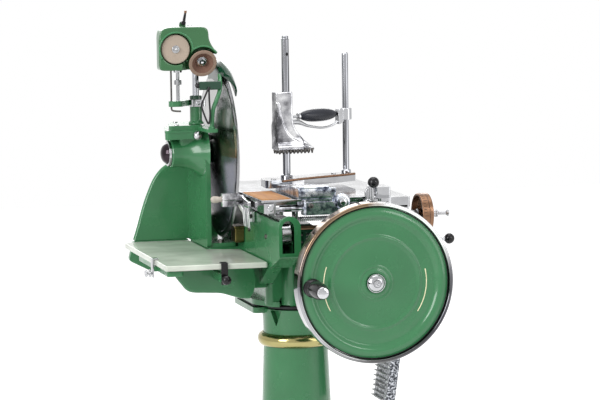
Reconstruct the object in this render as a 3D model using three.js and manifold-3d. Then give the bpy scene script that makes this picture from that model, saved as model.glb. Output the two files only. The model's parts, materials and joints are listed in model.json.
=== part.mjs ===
// Hand crank meat slicer on a cast pedestal. Millimetres, +Z up, the flywheel faces -Y.
// Places are given from the pedestal's axis on the floor; the whole machine is centred at the end.
import * as THREE from 'three';
import { mergeVertices, toCreasedNormals } from 'three/addons/utils/BufferGeometryUtils.js';
import Module from 'manifold-3d';

const wasm = await Module();
wasm.setup();

// Clearances
const seat = 0.3; // between pieces that touch
const run = 0.3; // around a shaft in its bore

// Pedestal and base
const headTop = 749;
const neckRadius = 63.5;
const ringHeight = headTop - 63.5;
const headThick = 11;
const padThick = 5.7;
const baseBottom = 749 + 2 * seat + padThick;
const beamLeft = -95;
const beamRight = -54;
const beamFront = -250;
const beamBack = 215;
const columnLeft = -71;
const columnFront = -55;
const columnRight = 17;

// Rollers and carriage
const rollerRadius = 20.5;
const rollerHeight = 917.5;
const rollerPlaces = [-222, 20, 190];
const tableTop = 981.6;
const tableThick = 6.6;
const tableFront = -200;
const tableBack = 190;
const tableLeft = -114.6;
const tableRight = 110;
const barRadius = 5;
const barHeight = 961.7;
const screwRadius = 5;
const screwY = -170;
const screwHeight = 938.7;
const railTop = 925;

// Feed slide and press
const leftRodRadius = 7.5;
const rightRodRadius = 6.5;
const rodSpan = new THREE.Vector2(138, 60);
const leftRod = new THREE.Vector2(-13, 0);
const rodPlateTop = 1001;

// Blade
const bladeRadius = 170;
const bladeEdge = -120;
const bladeY = 120;
const shelfTop = 862;
const bladeHeight = shelfTop + 15 + bladeRadius;
const bladeFront = bladeY - bladeRadius;
const edgeTop = bladeHeight + bladeRadius;
const bladeShaftRadius = 12;

// Flywheel and drive
const wheelX = 56.5;
const wheelHeight = 837;
const wheelRadius = 149.5;
const discRadius = 141.5;
const wheelFront = -372;
const wheelBack = -338;
const crankRadius = 123;
const crankDrop = 2;
const crankLength = 76;
const driveShaftRadius = 12;
const pinionRadius = 24.5;
const crownRadius = 60;
const crownY = -28;
const crossShaftRadius = 10;

// Receiving plate and its arm
const plateTop = 860;
const plateThick = 10.7;
const plateBottom = plateTop - plateThick;
const plateLeft = -295;
const webLeft = -160;
const webRight = -151;

// Sharpener
const standTop = bladeHeight + 57;
const postX = -166;
const postY = 120;
const postRadius = 12;
const postHeight = 35;
const slideRadius = 6.5;
const stoneRadius = 28.5;
const flatStone = new THREE.Vector3(-218.7, 56, edgeTop + 39);
const cupStone = new THREE.Vector3(-164.9, 55, edgeTop + 9.7);
const cupTilt = THREE.MathUtils.degToRad(22);

const paint = { color: 0x1f7a45, roughness: 0.35, metalness: 0.1 };
const darkPaint = { color: 0x14492c, roughness: 0.4, metalness: 0.1 };
const chrome = { color: 0xd9dcdf, roughness: 0.12, metalness: 1 };
const steel = { color: 0xb4b9be, roughness: 0.3, metalness: 0.9 };
const iron = { color: 0x8f9aa3, roughness: 0.55, metalness: 0.7 };
const brass = { color: 0xb08d43, roughness: 0.3, metalness: 0.9 };
const black = { color: 0x17161a, roughness: 0.3, metalness: 0 };
const white = { color: 0xeef2f2, roughness: 0.15, metalness: 0 };
const stone = { color: 0xa58a74, roughness: 0.9, metalness: 0 };
const board = { color: 0xa8683a, roughness: 0.35, metalness: 0 };
const ivory = { color: 0xe9e0c8, roughness: 0.35, metalness: 0 };

const machine = new THREE.Group();
machine.name = 'hand_crank_meat_slicer';

// A closed skin with shared corners, without flat triangles and facing out
function closedSkin(geometry) {
  geometry.deleteAttribute('normal');
  geometry.deleteAttribute('uv');
  const welded = mergeVertices(geometry, 1e-3);
  const corners = welded.index.array;
  const place = welded.attributes.position;
  const [a, b, c] = [new THREE.Vector3(), new THREE.Vector3(), new THREE.Vector3()];
  const kept = [];
  let volume = 0;
  for (let i = 0; i < corners.length; i += 3) {
    const [p, q, r] = [corners[i], corners[i + 1], corners[i + 2]];
    if (p === q || q === r || r === p) continue;
    kept.push(p, q, r);
    a.fromBufferAttribute(place, p);
    b.fromBufferAttribute(place, q);
    c.fromBufferAttribute(place, r);
    volume += a.dot(b.cross(c));
  }
  if (volume < 0) kept.reverse();
  return { place: place.array, corners: kept };
}

function solidOf(geometry) {
  const skin = closedSkin(geometry);
  return new wasm.Manifold(new wasm.Mesh({
    numProp: 3,
    vertProperties: new Float32Array(skin.place),
    triVerts: new Uint32Array(skin.corners),
  }));
}

const join = (first, ...rest) => rest.reduce((sum, next) => sum.add(next), first);
const cut = (first, ...rest) => rest.reduce((left, next) => left.subtract(next), first);

// A solid of revolution about a line along x, y or z. The profile is a list of [radius, place].
function turned(axis, middle, profile, sides = 10) {
  const points = profile.map(([radius, place]) => new THREE.Vector2(radius, place));
  if (profile[0][0] > 0) points.push(points[0].clone());
  const geometry = new THREE.LatheGeometry(points, sides);
  if (axis === 'x') geometry.rotateZ(-Math.PI / 2).translate(0, middle[0], middle[1]);
  if (axis === 'y') geometry.translate(middle[0], 0, middle[1]);
  if (axis === 'z') geometry.rotateX(Math.PI / 2).translate(middle[0], middle[1], 0);
  return solidOf(geometry);
}

const rod = (axis, middle, radius, from, to, sides = 12) =>
  turned(axis, middle, [[0, from], [radius, from], [radius, to], [0, to]], sides);

// A bore for a shaft: its flats, not its corners, keep the running clearance
const bore = (axis, middle, radius, from, to, sides = 12) =>
  rod(axis, middle, (radius + run) / Math.cos(Math.PI / sides), from, to, sides);

const ring = (axis, middle, inner, outer, from, to, sides = 14) =>
  turned(axis, middle, [[inner, from], [outer, from], [outer, to], [inner, to]], sides);

function ball(radius, x, y, z, rows = 6) {
  const profile = [];
  for (let i = 0; i <= rows; i += 1) {
    const angle = -Math.PI / 2 + (Math.PI * i) / rows;
    profile.push([i % rows ? radius * Math.cos(angle) : 0, z + radius * Math.sin(angle)]);
  }
  return turned('z', [x, y], profile, 10);
}

// An outline with its corners rounded
function rounded(points, radius) {
  const shape = new THREE.Shape();
  points.forEach((point, i) => {
    const here = new THREE.Vector2(...point);
    const before = new THREE.Vector2(...points[(i + points.length - 1) % points.length]);
    const after = new THREE.Vector2(...points[(i + 1) % points.length]);
    const reachIn = Math.min(radius, here.distanceTo(before) * 0.45);
    const reachOut = Math.min(radius, here.distanceTo(after) * 0.45);
    const start = here.clone().add(before.sub(here).setLength(reachIn));
    const end = here.clone().add(after.sub(here).setLength(reachOut));
    if (i === 0) shape.moveTo(start.x, start.y);
    else shape.lineTo(start.x, start.y);
    shape.quadraticCurveTo(here.x, here.y, end.x, end.y);
  });
  shape.closePath();
  return shape;
}

// A slab of an outline: (Y, Z) along x, (X, Z) along y, (X, Y) along z
function slab(axis, outline, from, to, bevel = 0) {
  const shape = outline instanceof THREE.Shape ? outline
    : new THREE.Shape(outline.map(([a, b]) => new THREE.Vector2(a, b)));
  const geometry = new THREE.ExtrudeGeometry(shape, {
    depth: to - from - 2 * bevel,
    bevelEnabled: bevel > 0,
    bevelThickness: bevel,
    bevelSize: bevel,
    bevelOffset: -bevel,
    bevelSegments: 1,
    curveSegments: 2,
    steps: 1,
  });
  const turn = new THREE.Matrix4();
  if (axis === 'x') {
    turn.makeBasis(new THREE.Vector3(0, 1, 0), new THREE.Vector3(0, 0, 1), new THREE.Vector3(1, 0, 0));
    turn.setPosition(from + bevel, 0, 0);
  }
  if (axis === 'y') {
    turn.makeBasis(new THREE.Vector3(1, 0, 0), new THREE.Vector3(0, 0, 1), new THREE.Vector3(0, -1, 0));
    turn.setPosition(0, to - bevel, 0);
  }
  if (axis === 'z') turn.setPosition(0, 0, from + bevel);
  return solidOf(geometry.applyMatrix4(turn));
}

function block(x0, x1, y0, y1, z0, z1, corner = 0, bevel = 0) {
  const outline = [[x0, y0], [x1, y0], [x1, y1], [x0, y1]];
  return slab('z', corner ? rounded(outline, corner) : outline, z0, z1, bevel);
}

// Points along an arc, from one angle to the other
function arc(middle, radius, from, to, count) {
  return Array.from({ length: count + 1 }, (_, i) => {
    const angle = from + ((to - from) * i) / count;
    return [middle[0] + radius * Math.cos(angle), middle[1] + radius * Math.sin(angle)];
  });
}

// A round bar bent along a smooth line through the points
function bent(points, radius, steps = 12, sides = 6) {
  const line = new THREE.CatmullRomCurve3(points.map((point) => new THREE.Vector3(...point)));
  const shape = new THREE.Shape();
  for (let i = 0; i < sides; i += 1) {
    const angle = (Math.PI * 2 * i) / sides;
    const [x, y] = [radius * Math.cos(angle), radius * Math.sin(angle)];
    if (i === 0) shape.moveTo(x, y);
    else shape.lineTo(x, y);
  }
  shape.closePath();
  return solidOf(new THREE.ExtrudeGeometry(shape, {
    extrudePath: line, steps, bevelEnabled: false, curveSegments: 1,
  }));
}

function piece(name, solid, look, move = null) {
  const mesh = solid.getMesh();
  const geometry = new THREE.BufferGeometry();
  geometry.setAttribute('position', new THREE.BufferAttribute(new Float32Array(mesh.vertProperties), 3));
  geometry.setIndex(new THREE.BufferAttribute(new Uint32Array(mesh.triVerts), 1));
  if (move) geometry.applyMatrix4(move);
  const shown = new THREE.Mesh(toCreasedNormals(geometry, 0.7), new THREE.MeshStandardMaterial(look));
  shown.name = name;
  machine.add(shown);
}

// Pedestal: round column with a spread foot, a head plate that reaches back, four hollows under it
function pedestal() {
  const halfSeat = 14;
  const column = turned('z', [0, 0], [
    [0, 0], [238, 0], [240, 8], [226, 32], [178, 50], [132, 84], [104, 130], [88, 190],
    [79, 300], [72, 460], [neckRadius, ringHeight - halfSeat], [neckRadius, ringHeight + halfSeat],
    [neckRadius + 2, headTop - 8], [neckRadius + 2, headTop], [0, headTop],
  ], 24);
  const head = slab('z', rounded([[-86, -9], [86, -9], [86, 158], [-86, 158]], 10),
    headTop - headThick, headTop, 1.5);
  const hollow = (angle, top) => {
    const turn = new THREE.Matrix4().makeRotationZ(THREE.MathUtils.degToRad(angle));
    const notch = slab('y', [[-13.5, top], [13.5, top], [0, top - 32]], -100, 12 - neckRadius);
    return notch.transform(turn.elements);
  };
  piece('pedestal', cut(join(column, head), ...[-51, 51].map((angle) => hollow(angle, headTop - 3)),
    ...[-129, 129].map((angle) => hollow(angle, headTop - headThick))), paint);

  const bead = [[neckRadius + seat, ringHeight - 13]];
  for (let i = 1; i < 6; i += 1) {
    const angle = -Math.PI / 2 + (Math.PI * i) / 6;
    bead.push([neckRadius + seat + 10.7 * Math.cos(angle), ringHeight + 13 * Math.sin(angle)]);
  }
  bead.push([neckRadius + seat, ringHeight + 13]);
  piece('pedestal_ring', turned('z', [0, 0], bead, 24), brass);

  const [padBottom, padTop] = [headTop + seat, headTop + seat + padThick];
  piece('foot_pad_front', rod('z', [0, 0], neckRadius + 1, padBottom, padTop, 24)
    .intersect(block(-70, 70, -80, -22, padBottom - 1, padTop + 1)), black);
  piece('foot_pad_rear', cut(block(-82, 82, 6, 152, padBottom, padTop, 10),
    block(-52, 52, 42, 118, padBottom - 1, padTop + 1)), black);
}

// Base casting: foot, column, roller beam with its arched front, shaft bearing, right arm, rear shelf
function base() {
  const slotLeft = beamLeft + 5.6;
  const slotRight = beamRight - 12.2;
  const slotMiddle = (slotLeft + slotRight) / 2;
  const beamMiddle = (beamLeft + beamRight) / 2;
  const foot = slab('z', rounded([[-58, -60], [60, -60], [86, -9], [86, 158], [-86, 158], [-86, -2]], 10),
    baseBottom, baseBottom + 10);
  const column = slab('z', rounded([[columnLeft, columnFront], [columnRight, columnFront],
    [columnRight, 130], [columnLeft, 130]], 12), baseBottom + 8, 850);
  const bulge = rod('z', [-18, columnFront + 5], 22, baseBottom + 8, 850, 16);
  const beam = slab('x', [[beamFront, 875], [beamFront, 941], [-100, 943], [-26, 947], [beamBack, 947],
    [beamBack, 848], [-176, 847.5]], beamLeft, beamRight);
  const archRadius = (beamRight - beamLeft) / 2;
  const arch = [[beamLeft, 900], [beamRight, 900], ...arc([beamMiddle, 932], archRadius, 0, Math.PI, 6)];
  const front = slab('y', arch, beamFront, beamFront + 12);
  const slotHalf = (slotRight - slotLeft) / 2;
  const slot = [[slotLeft, 884], [slotRight, 884], ...arc([slotMiddle, 933.4], slotHalf, 0, Math.PI, 6)];
  const bearing = rod('y', [wheelX, wheelHeight], 30, -300, -140, 16);
  const bearingLip = rod('y', [wheelX, wheelHeight], 34, -306, -292, 16);
  const web = slab('x', [[-296, 812], [-70, baseBottom + 4], [-20, baseBottom + 4], [-20, 780],
    [-115, 802], [-140, 835], [-296, 835]], wheelX - 11, wheelX + 11);
  const rearBeam = block(10, 178, 50, 104, 790, 838, 8);
  const rearStep = block(10, 92, 50, 104, baseBottom + 4, 800);
  const upright = slab('x', [[-70, 800], [104, 800], [150, railTop - 20 - seat],
    [-200, railTop - 20 - seat]],
    152, 176);
  const lug = block(150, 195, -70, -50, 800, 812, 4);
  const shelf = slab('z', rounded([[-158, 69], [columnRight, 69], [columnRight, 235], [-158, 235]], 10),
    780, shelfTop);
  let solid = join(foot, column, bulge, beam, front, bearing, bearingLip, web, rearBeam, rearStep,
    upright, lug, shelf);
  const notch = [[-47, baseBottom - 1], [-25, baseBottom - 1], ...arc([-36, 764], 11, 0, Math.PI, 6)];
  solid = cut(solid,
    block(slotLeft, slotRight, beamFront + 12, beamBack + 1, 884, 960),
    slab('y', slot, beamFront - 1, beamFront + 13),
    slab('y', notch, -100, columnFront + 12),
    bore('y', [wheelX, wheelHeight], driveShaftRadius, -310, -130, 14),
    bore('x', [crownY, wheelHeight], crossShaftRadius, columnLeft + 8, columnRight + 1),
    ...rollerPlaces.map((y) => bore('x', [y, rollerHeight], 4, beamLeft + 2, beamRight + 1, 10)));
  piece('base_casting', solid, paint);

  ['front', 'middle', 'rear'].forEach((place, i) => {
    const [left, right] = [slotLeft + 1.4, slotRight - 1.4];
    piece(`roller_${place}`, turned('x', [rollerPlaces[i], rollerHeight], [
      [0, beamLeft + 2 + seat], [4, beamLeft + 2 + seat], [4, left], [rollerRadius, left],
      [rollerRadius, right], [4, right], [4, beamRight - 1], [0, beamRight - 1],
    ], 16), steel);
  });
  piece('right_rail', block(152, 176, -216, 250, railTop - 20, railTop, 0, 1.5), steel);

  // Small drip box on the side of the beam, beside the blade
  piece('drip_box', slab('x', rounded([[20, 875], [58, 875], [58, 907], [20, 907]], 4),
    beamLeft - 19, beamLeft - seat, 1), brass);
}

// Flywheel with its crank, and the bevel drive behind it
function flywheel() {
  const face = wheelFront + 2;
  const hub = driveShaftRadius + run;
  piece('flywheel_disc', turned('y', [wheelX, wheelHeight], [
    [hub, face - 1.5], [24, face - 1.5], [29, face + 2], [82, face + 5], [113, face + 4],
    [117, face], [discRadius, face], [discRadius, wheelBack - 3], [discRadius - 9, wheelBack - 3],
    [discRadius - 14, face + 17], [60, face + 17], [31, wheelBack - 5], [31, wheelBack + 4],
    [hub, wheelBack + 4],
  ], 32), paint);
  piece('flywheel_rim', turned('y', [wheelX, wheelHeight], [
    [discRadius + seat, face + 2.5], [discRadius + 3, wheelFront], [wheelRadius - 2, wheelFront],
    [wheelRadius, wheelFront + 3], [wheelRadius, wheelBack - 3], [wheelRadius - 2.5, wheelBack],
    [discRadius + seat, wheelBack],
  ], 32), chrome);

  // Shaft with the domed cap in front and the small bevel gear behind
  const capFace = face - 1.5 - seat;
  const shaft = turned('y', [wheelX, wheelHeight], [
    [0, capFace - 9], [6, capFace - 9], [15.5, capFace - 4], [17.4, capFace],
    [driveShaftRadius, capFace], [driveShaftRadius, crownY - crownRadius],
    [0, crownY - crownRadius],
  ], 12);
  const teeth = (count, outer, inner, phase) => {
    const shape = new THREE.Shape();
    for (let i = 0; i < count * 3; i += 1) {
      const angle = (Math.PI * 2 * (i + phase)) / (count * 3);
      const radius = i % 3 < 1 ? outer : inner;
      const [x, y] = [radius * Math.cos(angle), radius * Math.sin(angle)];
      if (i === 0) shape.moveTo(x, y);
      else shape.lineTo(x, y);
    }
    shape.closePath();
    return shape;
  };
  const gear = (count, outer, inner, depth) =>
    new THREE.ExtrudeGeometry(teeth(count, outer, inner, 0), { depth, bevelEnabled: false });
  const pinion = solidOf(gear(10, pinionRadius, pinionRadius - 5, 22).rotateX(Math.PI / 2)
    .translate(wheelX, crownY - crownRadius, wheelHeight));
  const cone = turned('y', [wheelX, wheelHeight], [
    [0, crownY - crownRadius - 23], [pinionRadius + 1, crownY - crownRadius - 23],
    [pinionRadius + 1, crownY - crownRadius - 14], [pinionRadius - 7, crownY - crownRadius + 1],
    [0, crownY - crownRadius + 1],
  ], 14);
  piece('flywheel_shaft', join(shaft, pinion.intersect(cone)), steel);

  const crownFace = wheelX - pinionRadius - 0.6;
  const crown = solidOf(gear(24, crownRadius, crownRadius - 6, 12).rotateY(Math.PI / 2)
    .translate(crownFace - 12, crownY, wheelHeight));
  const backing = turned('x', [crownY, wheelHeight], [
    [0, columnLeft + 9], [crossShaftRadius, columnLeft + 9], [crossShaftRadius, columnRight + 0.8],
    [crossShaftRadius + 8, columnRight + 0.8], [crossShaftRadius + 8, crownFace - 13],
    [crownRadius - 12, crownFace - 13], [crownRadius - 8, crownFace - 6],
    [crownRadius - 14, crownFace - 4], [16, crownFace - 6], [14, crownFace], [0, crownFace],
  ], 12);
  const dish = turned('x', [crownY, wheelHeight], [
    [16, crownFace - 7], [crownRadius - 13, crownFace - 5], [crownRadius - 11, crownFace + 1],
    [16, crownFace + 1],
  ], 12);
  piece('crown_gear', join(cut(crown, dish), backing), steel);

  // Crank pin with its cap, and the turned grip that runs on it
  const crank = [wheelX - crankRadius, wheelHeight - crankDrop];
  const gripFront = wheelFront - crankLength;
  piece('crank_pin', turned('y', crank, [
    [0, gripFront - 5], [7, gripFront - 5], [11, gripFront - 2], [11, gripFront], [4, gripFront],
    [4, face - 3], [9, face - 3], [9, face - seat], [0, face - seat],
  ], 12), chrome);
  piece('crank_grip', turned('y', crank, [
    [4.6, gripFront + seat], [12, gripFront + seat], [16, gripFront + 30],
    [16, gripFront + 48], [13.5, gripFront + 55], [17.5, gripFront + 63],
    [17.5, face - 6], [15.5, face - 3 - seat], [4.6, face - 3 - seat],
  ], 12), black);
}

// Blade, its shaft, the stand that carries them and the hood over the edge
function blade() {
  const shaftBore = bladeShaftRadius + run;
  const dome = bladeEdge - 21;
  piece('blade', turned('x', [bladeY, bladeHeight], [
    [shaftBore, dome], [0.35 * bladeRadius, dome + 2.5], [0.65 * bladeRadius, dome + 8],
    [bladeRadius - 13, bladeEdge - 5.5], [bladeRadius, bladeEdge - 0.4],
    [bladeRadius, bladeEdge + 0.4], [bladeRadius - 18, bladeEdge + 2.5],
    [0.55 * bladeRadius, bladeEdge - 6], [shaftBore, bladeEdge - 13],
  ], 36), chrome);
  piece('blade_shaft', turned('x', [bladeY, bladeHeight], [
    [0, -219], [bladeShaftRadius, -219], [bladeShaftRadius, webRight + 1], [26, webRight + 1],
    [24, dome - 3], [18, dome - seat], [bladeShaftRadius, dome - seat],
    [bladeShaftRadius, bladeEdge - 4], [0, bladeEdge - 4],
  ], 16), darkPaint);
  piece('blade_nut', cut(turned('x', [bladeY, bladeHeight], [
    [bladeShaftRadius + run, bladeEdge - 13 + seat], [24, bladeEdge - 11.5 + seat],
    [22, bladeEdge + 3], [14, bladeEdge + 7], [0.8, bladeEdge + 8], [0.8, bladeEdge - 4 + seat],
    [bladeShaftRadius + run, bladeEdge - 4 + seat],
  ], 16)), steel);

  // Stand: everything above its flange keeps its place from the shaft and from its own top
  const standBottom = shelfTop + seat;
  const flange = slab('z', rounded([[-157, 70], [beamLeft - 3, 70], [beamLeft - 3, 234], [-157, 234]], 8),
    standBottom, standBottom + 7.7);
  const web = slab('x', [[66, standBottom], [66, bladeHeight - 27], [84, bladeHeight + 31],
    [240, bladeHeight + 31], [250, bladeHeight + 13], [250, standBottom]], webLeft, webRight);
  const edge = [[-271, 0], [-262, 0.15], [-251, 0.35], [-240, 0.51], [-228, 0.65], [-214, 0.75],
    [-199, 0.81]];
  const buttress = slab('y', [[webRight, standBottom],
    ...edge.map(([x, share]) => [x, standBottom + share * (bladeHeight - standBottom)]),
    [-199, bladeHeight + 32], [webRight, bladeHeight + 32]], 235, 250);
  const bearing = turned('x', [bladeY, bladeHeight], [
    [0, -221], [26, -221], [28, -218], [28, -200], [30, -190], [30, webRight], [0, webRight],
  ], 18);
  const neck = block(-205, webRight, 96, 200, bladeHeight + 15, bladeHeight + 33);
  const backWall = slab('x', [[130, bladeHeight - 27], [250, bladeHeight - 27], [250, bladeHeight + 32],
    [130, bladeHeight + 32]], -172, webRight);
  const top = slab('z', rounded([[-238, 80], [-160, 80], [-158, 200], [-213, 200]], 8),
    standTop - 27, standTop - 9);
  const lid = slab('z', rounded([[-229, 86], [-160, 86], [-158, 190], [-207, 190]], 6),
    standTop - 10, standTop, 1.5);
  const lug = block(-172, -144, 44, 96, standTop - 9, standTop - 2, 5);
  piece('blade_stand', cut(join(flange, web, buttress, bearing, neck, backWall, top, lid, lug),
    bore('x', [bladeY, bladeHeight], bladeShaftRadius, -222, webRight + 1, 16)), paint);

  piece('bearing_cap', turned('x', [bladeY, bladeHeight], [
    [0, -239], [9, -238], [17, -234], [22, -228], [25, -226], [25, -221 - seat], [0, -221 - seat],
  ], 16), chrome);
  const oilHeight = standTop - 19;
  piece('oil_cap', join(ball(9, -175, 68, oilHeight),
    rod('y', [-175, oilHeight], 4, 66, 80 - seat, 8)), chrome);

  // Hood: a band over the front upper quarter of the edge, with a stay down to the lug
  const clear = bladeRadius + 1.6;
  const inside = bladeEdge - 11;
  const sector = [[bladeY, bladeHeight], ...arc([bladeY, bladeHeight], bladeRadius + 60,
    THREE.MathUtils.degToRad(84), THREE.MathUtils.degToRad(128), 5)];
  const cover = turned('x', [bladeY, bladeHeight], [
    [bladeRadius - 24, inside], [bladeRadius - 24, inside - 3], [bladeRadius + 4, inside - 3],
    [bladeRadius + 12, bladeEdge - 6], [bladeRadius + 15, bladeEdge + 4], [bladeRadius + 12, bladeEdge + 14],
    [bladeRadius + 2, bladeEdge + 20], [bladeRadius - 20, bladeEdge + 21],
    [bladeRadius - 20, bladeEdge + 17], [clear, bladeEdge + 14], [clear, inside],
  ], 44).intersect(slab('x', sector, -200, -50));
  const foot = rod('z', [-149, 52], 6.5, standTop - 2 + seat, standTop + 2, 10);
  const stay = bent([[-149, 52, standTop], [-149, 49, standTop + 18], [-147, 38, standTop + 42],
    [-144, 26, standTop + 62], [-138, 20, edgeTop - 37], [-133, 20, edgeTop - 29]], 4.5, 10);
  piece('blade_hood', join(cover, foot, stay), paint);
}

// Receiving plate, the arm under it and its clamps
function receivingPlate() {
  const plateRight = beamLeft - 3.3;
  piece('receiving_plate', slab('z', rounded([[plateLeft, -168], [plateRight, -175], [plateRight, 44],
    [-150, 62], [webLeft - 0.6, 62], [webLeft - 0.6, 230], [-271, 234], [plateLeft, 222]], 4),
  plateBottom, plateTop, 1), white);

  const top = plateBottom - 0.4;
  const shelf = slab('z', rounded([[-262, -98], [-106, -98], [-98, -88], [-98, 60], [-158.6, 66],
    [-158.6, 250], [-276, 250], [-262, 180]], 8), top - 11, top);
  const root = block(-112, columnLeft - seat, -60, 62, 795, top - 9, 0);
  const apron = slab('y', rounded([[-262, top], [-262, 838], [-233, 801], [-172, 796], [-130, 782],
    [-115, 781], [-106, 796], [-103, 820], [-110, top]], 8), -98, -84);
  const rib = block(-200, -104, -90, -55, 800, top - 9);
  const rear = slab('y', [[-284, 822], [-274, 861.9], [-158.6, 861.9], [-158.6, 800], [-240, 799]],
    236, 250);
  const spine = slab('x', [[-90, 806], [240, 806], [240, top - 5], [-90, top - 5]], -190, -176);
  const rail = block(-290, -258, -158, 110, top - 11, top, 6);
  const clampLug = block(-296, -286, -68, -52, top - 11, top);
  const strapLug = block(-189, -178, -175, -90, 824, top - 9);
  piece('tray_arm', join(shelf, root, apron, rib, rear, spine, rail, clampLug, strapLug), paint);

  const stripX = -296 - seat;
  piece('plate_clamp', slab('y', [[stripX - 3, 826], [stripX, 826], [stripX, plateTop + seat],
    [plateLeft + 8, plateTop + seat], [plateLeft + 8, plateTop + 3], [stripX - 3, plateTop + 3]],
  -68, -52), chrome);
  piece('clamp_screw', turned('x', [-60, 834], [
    [0, stripX - 17], [6, stripX - 17], [7, stripX - 15.5], [7, stripX - 13], [3.5, stripX - 12],
    [3.5, stripX - 9], [8, stripX - 8.5], [8, stripX - 6], [3, stripX - 5.5], [3, stripX - 3 - seat],
    [0, stripX - 3 - seat],
  ], 12), chrome);
  piece('strap_clamp', slab('x', [[-178, 821], [-178, plateTop + 3], [-160, plateTop + 3],
    [-160, plateTop + seat], [-175 - seat, plateTop + seat], [-175 - seat, 821]], -190, -177), chrome);
  piece('strap_knob', turned('y', [-183, 831], [
    [0, -197], [6, -196], [9, -192], [9, -186], [6.5, -184.5], [6.5, -183], [4, -182], [4, -178 - seat],
    [0, -178 - seat],
  ], 12), black);
}

// Deflector in front of the blade: bracket on the beam, comb on a cross pin, ivory knob
function deflector() {
  const [pinY, pinHeight] = [bladeFront - 12, 971];
  piece('deflector_bracket', cut(slab('y', rounded([[beamLeft - seat, 925], [beamLeft - seat, 948],
    [-118, 950], [-125, 957], [-125, 983], [-160, 983], [-160, 953], [-138, 944], [-120, 925]], 3),
    pinY - 10, pinY + 10, 1),
  bore('x', [pinY, pinHeight], 4, -161, -120, 10)), chrome);
  const stem = turned('x', [pinY, pinHeight], [
    [0, -166], [4, -166], [4, -124.6], [7, -124.6], [7, -117], [0, -117],
  ], 10);
  const arm = slab('x', rounded([[pinY - 60, 958], [pinY - 60, 970], [pinY, 976], [pinY + 4, 968],
    [pinY - 8, 958]], 3), -122.6, -117);
  const prongs = [];
  for (let i = 0; i < 5; i += 1) {
    const y = pinY - 57 + i * 11;
    prongs.push(bent([[-119.8, y, 962], [-120.4, y, 948], [-119.6, y, 934], [-118.6, y, 919]], 1.9, 3, 4));
  }
  piece('deflector_comb', join(stem, arm, ...prongs), chrome);
  piece('deflector_knob', cut(join(ball(10.5, -171, pinY, pinHeight),
    rod('x', [pinY, pinHeight], 6, -170, -160 - seat, 10)),
  bore('x', [pinY, pinHeight], 4, -166 - seat, -150, 10)), ivory);
}

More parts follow.
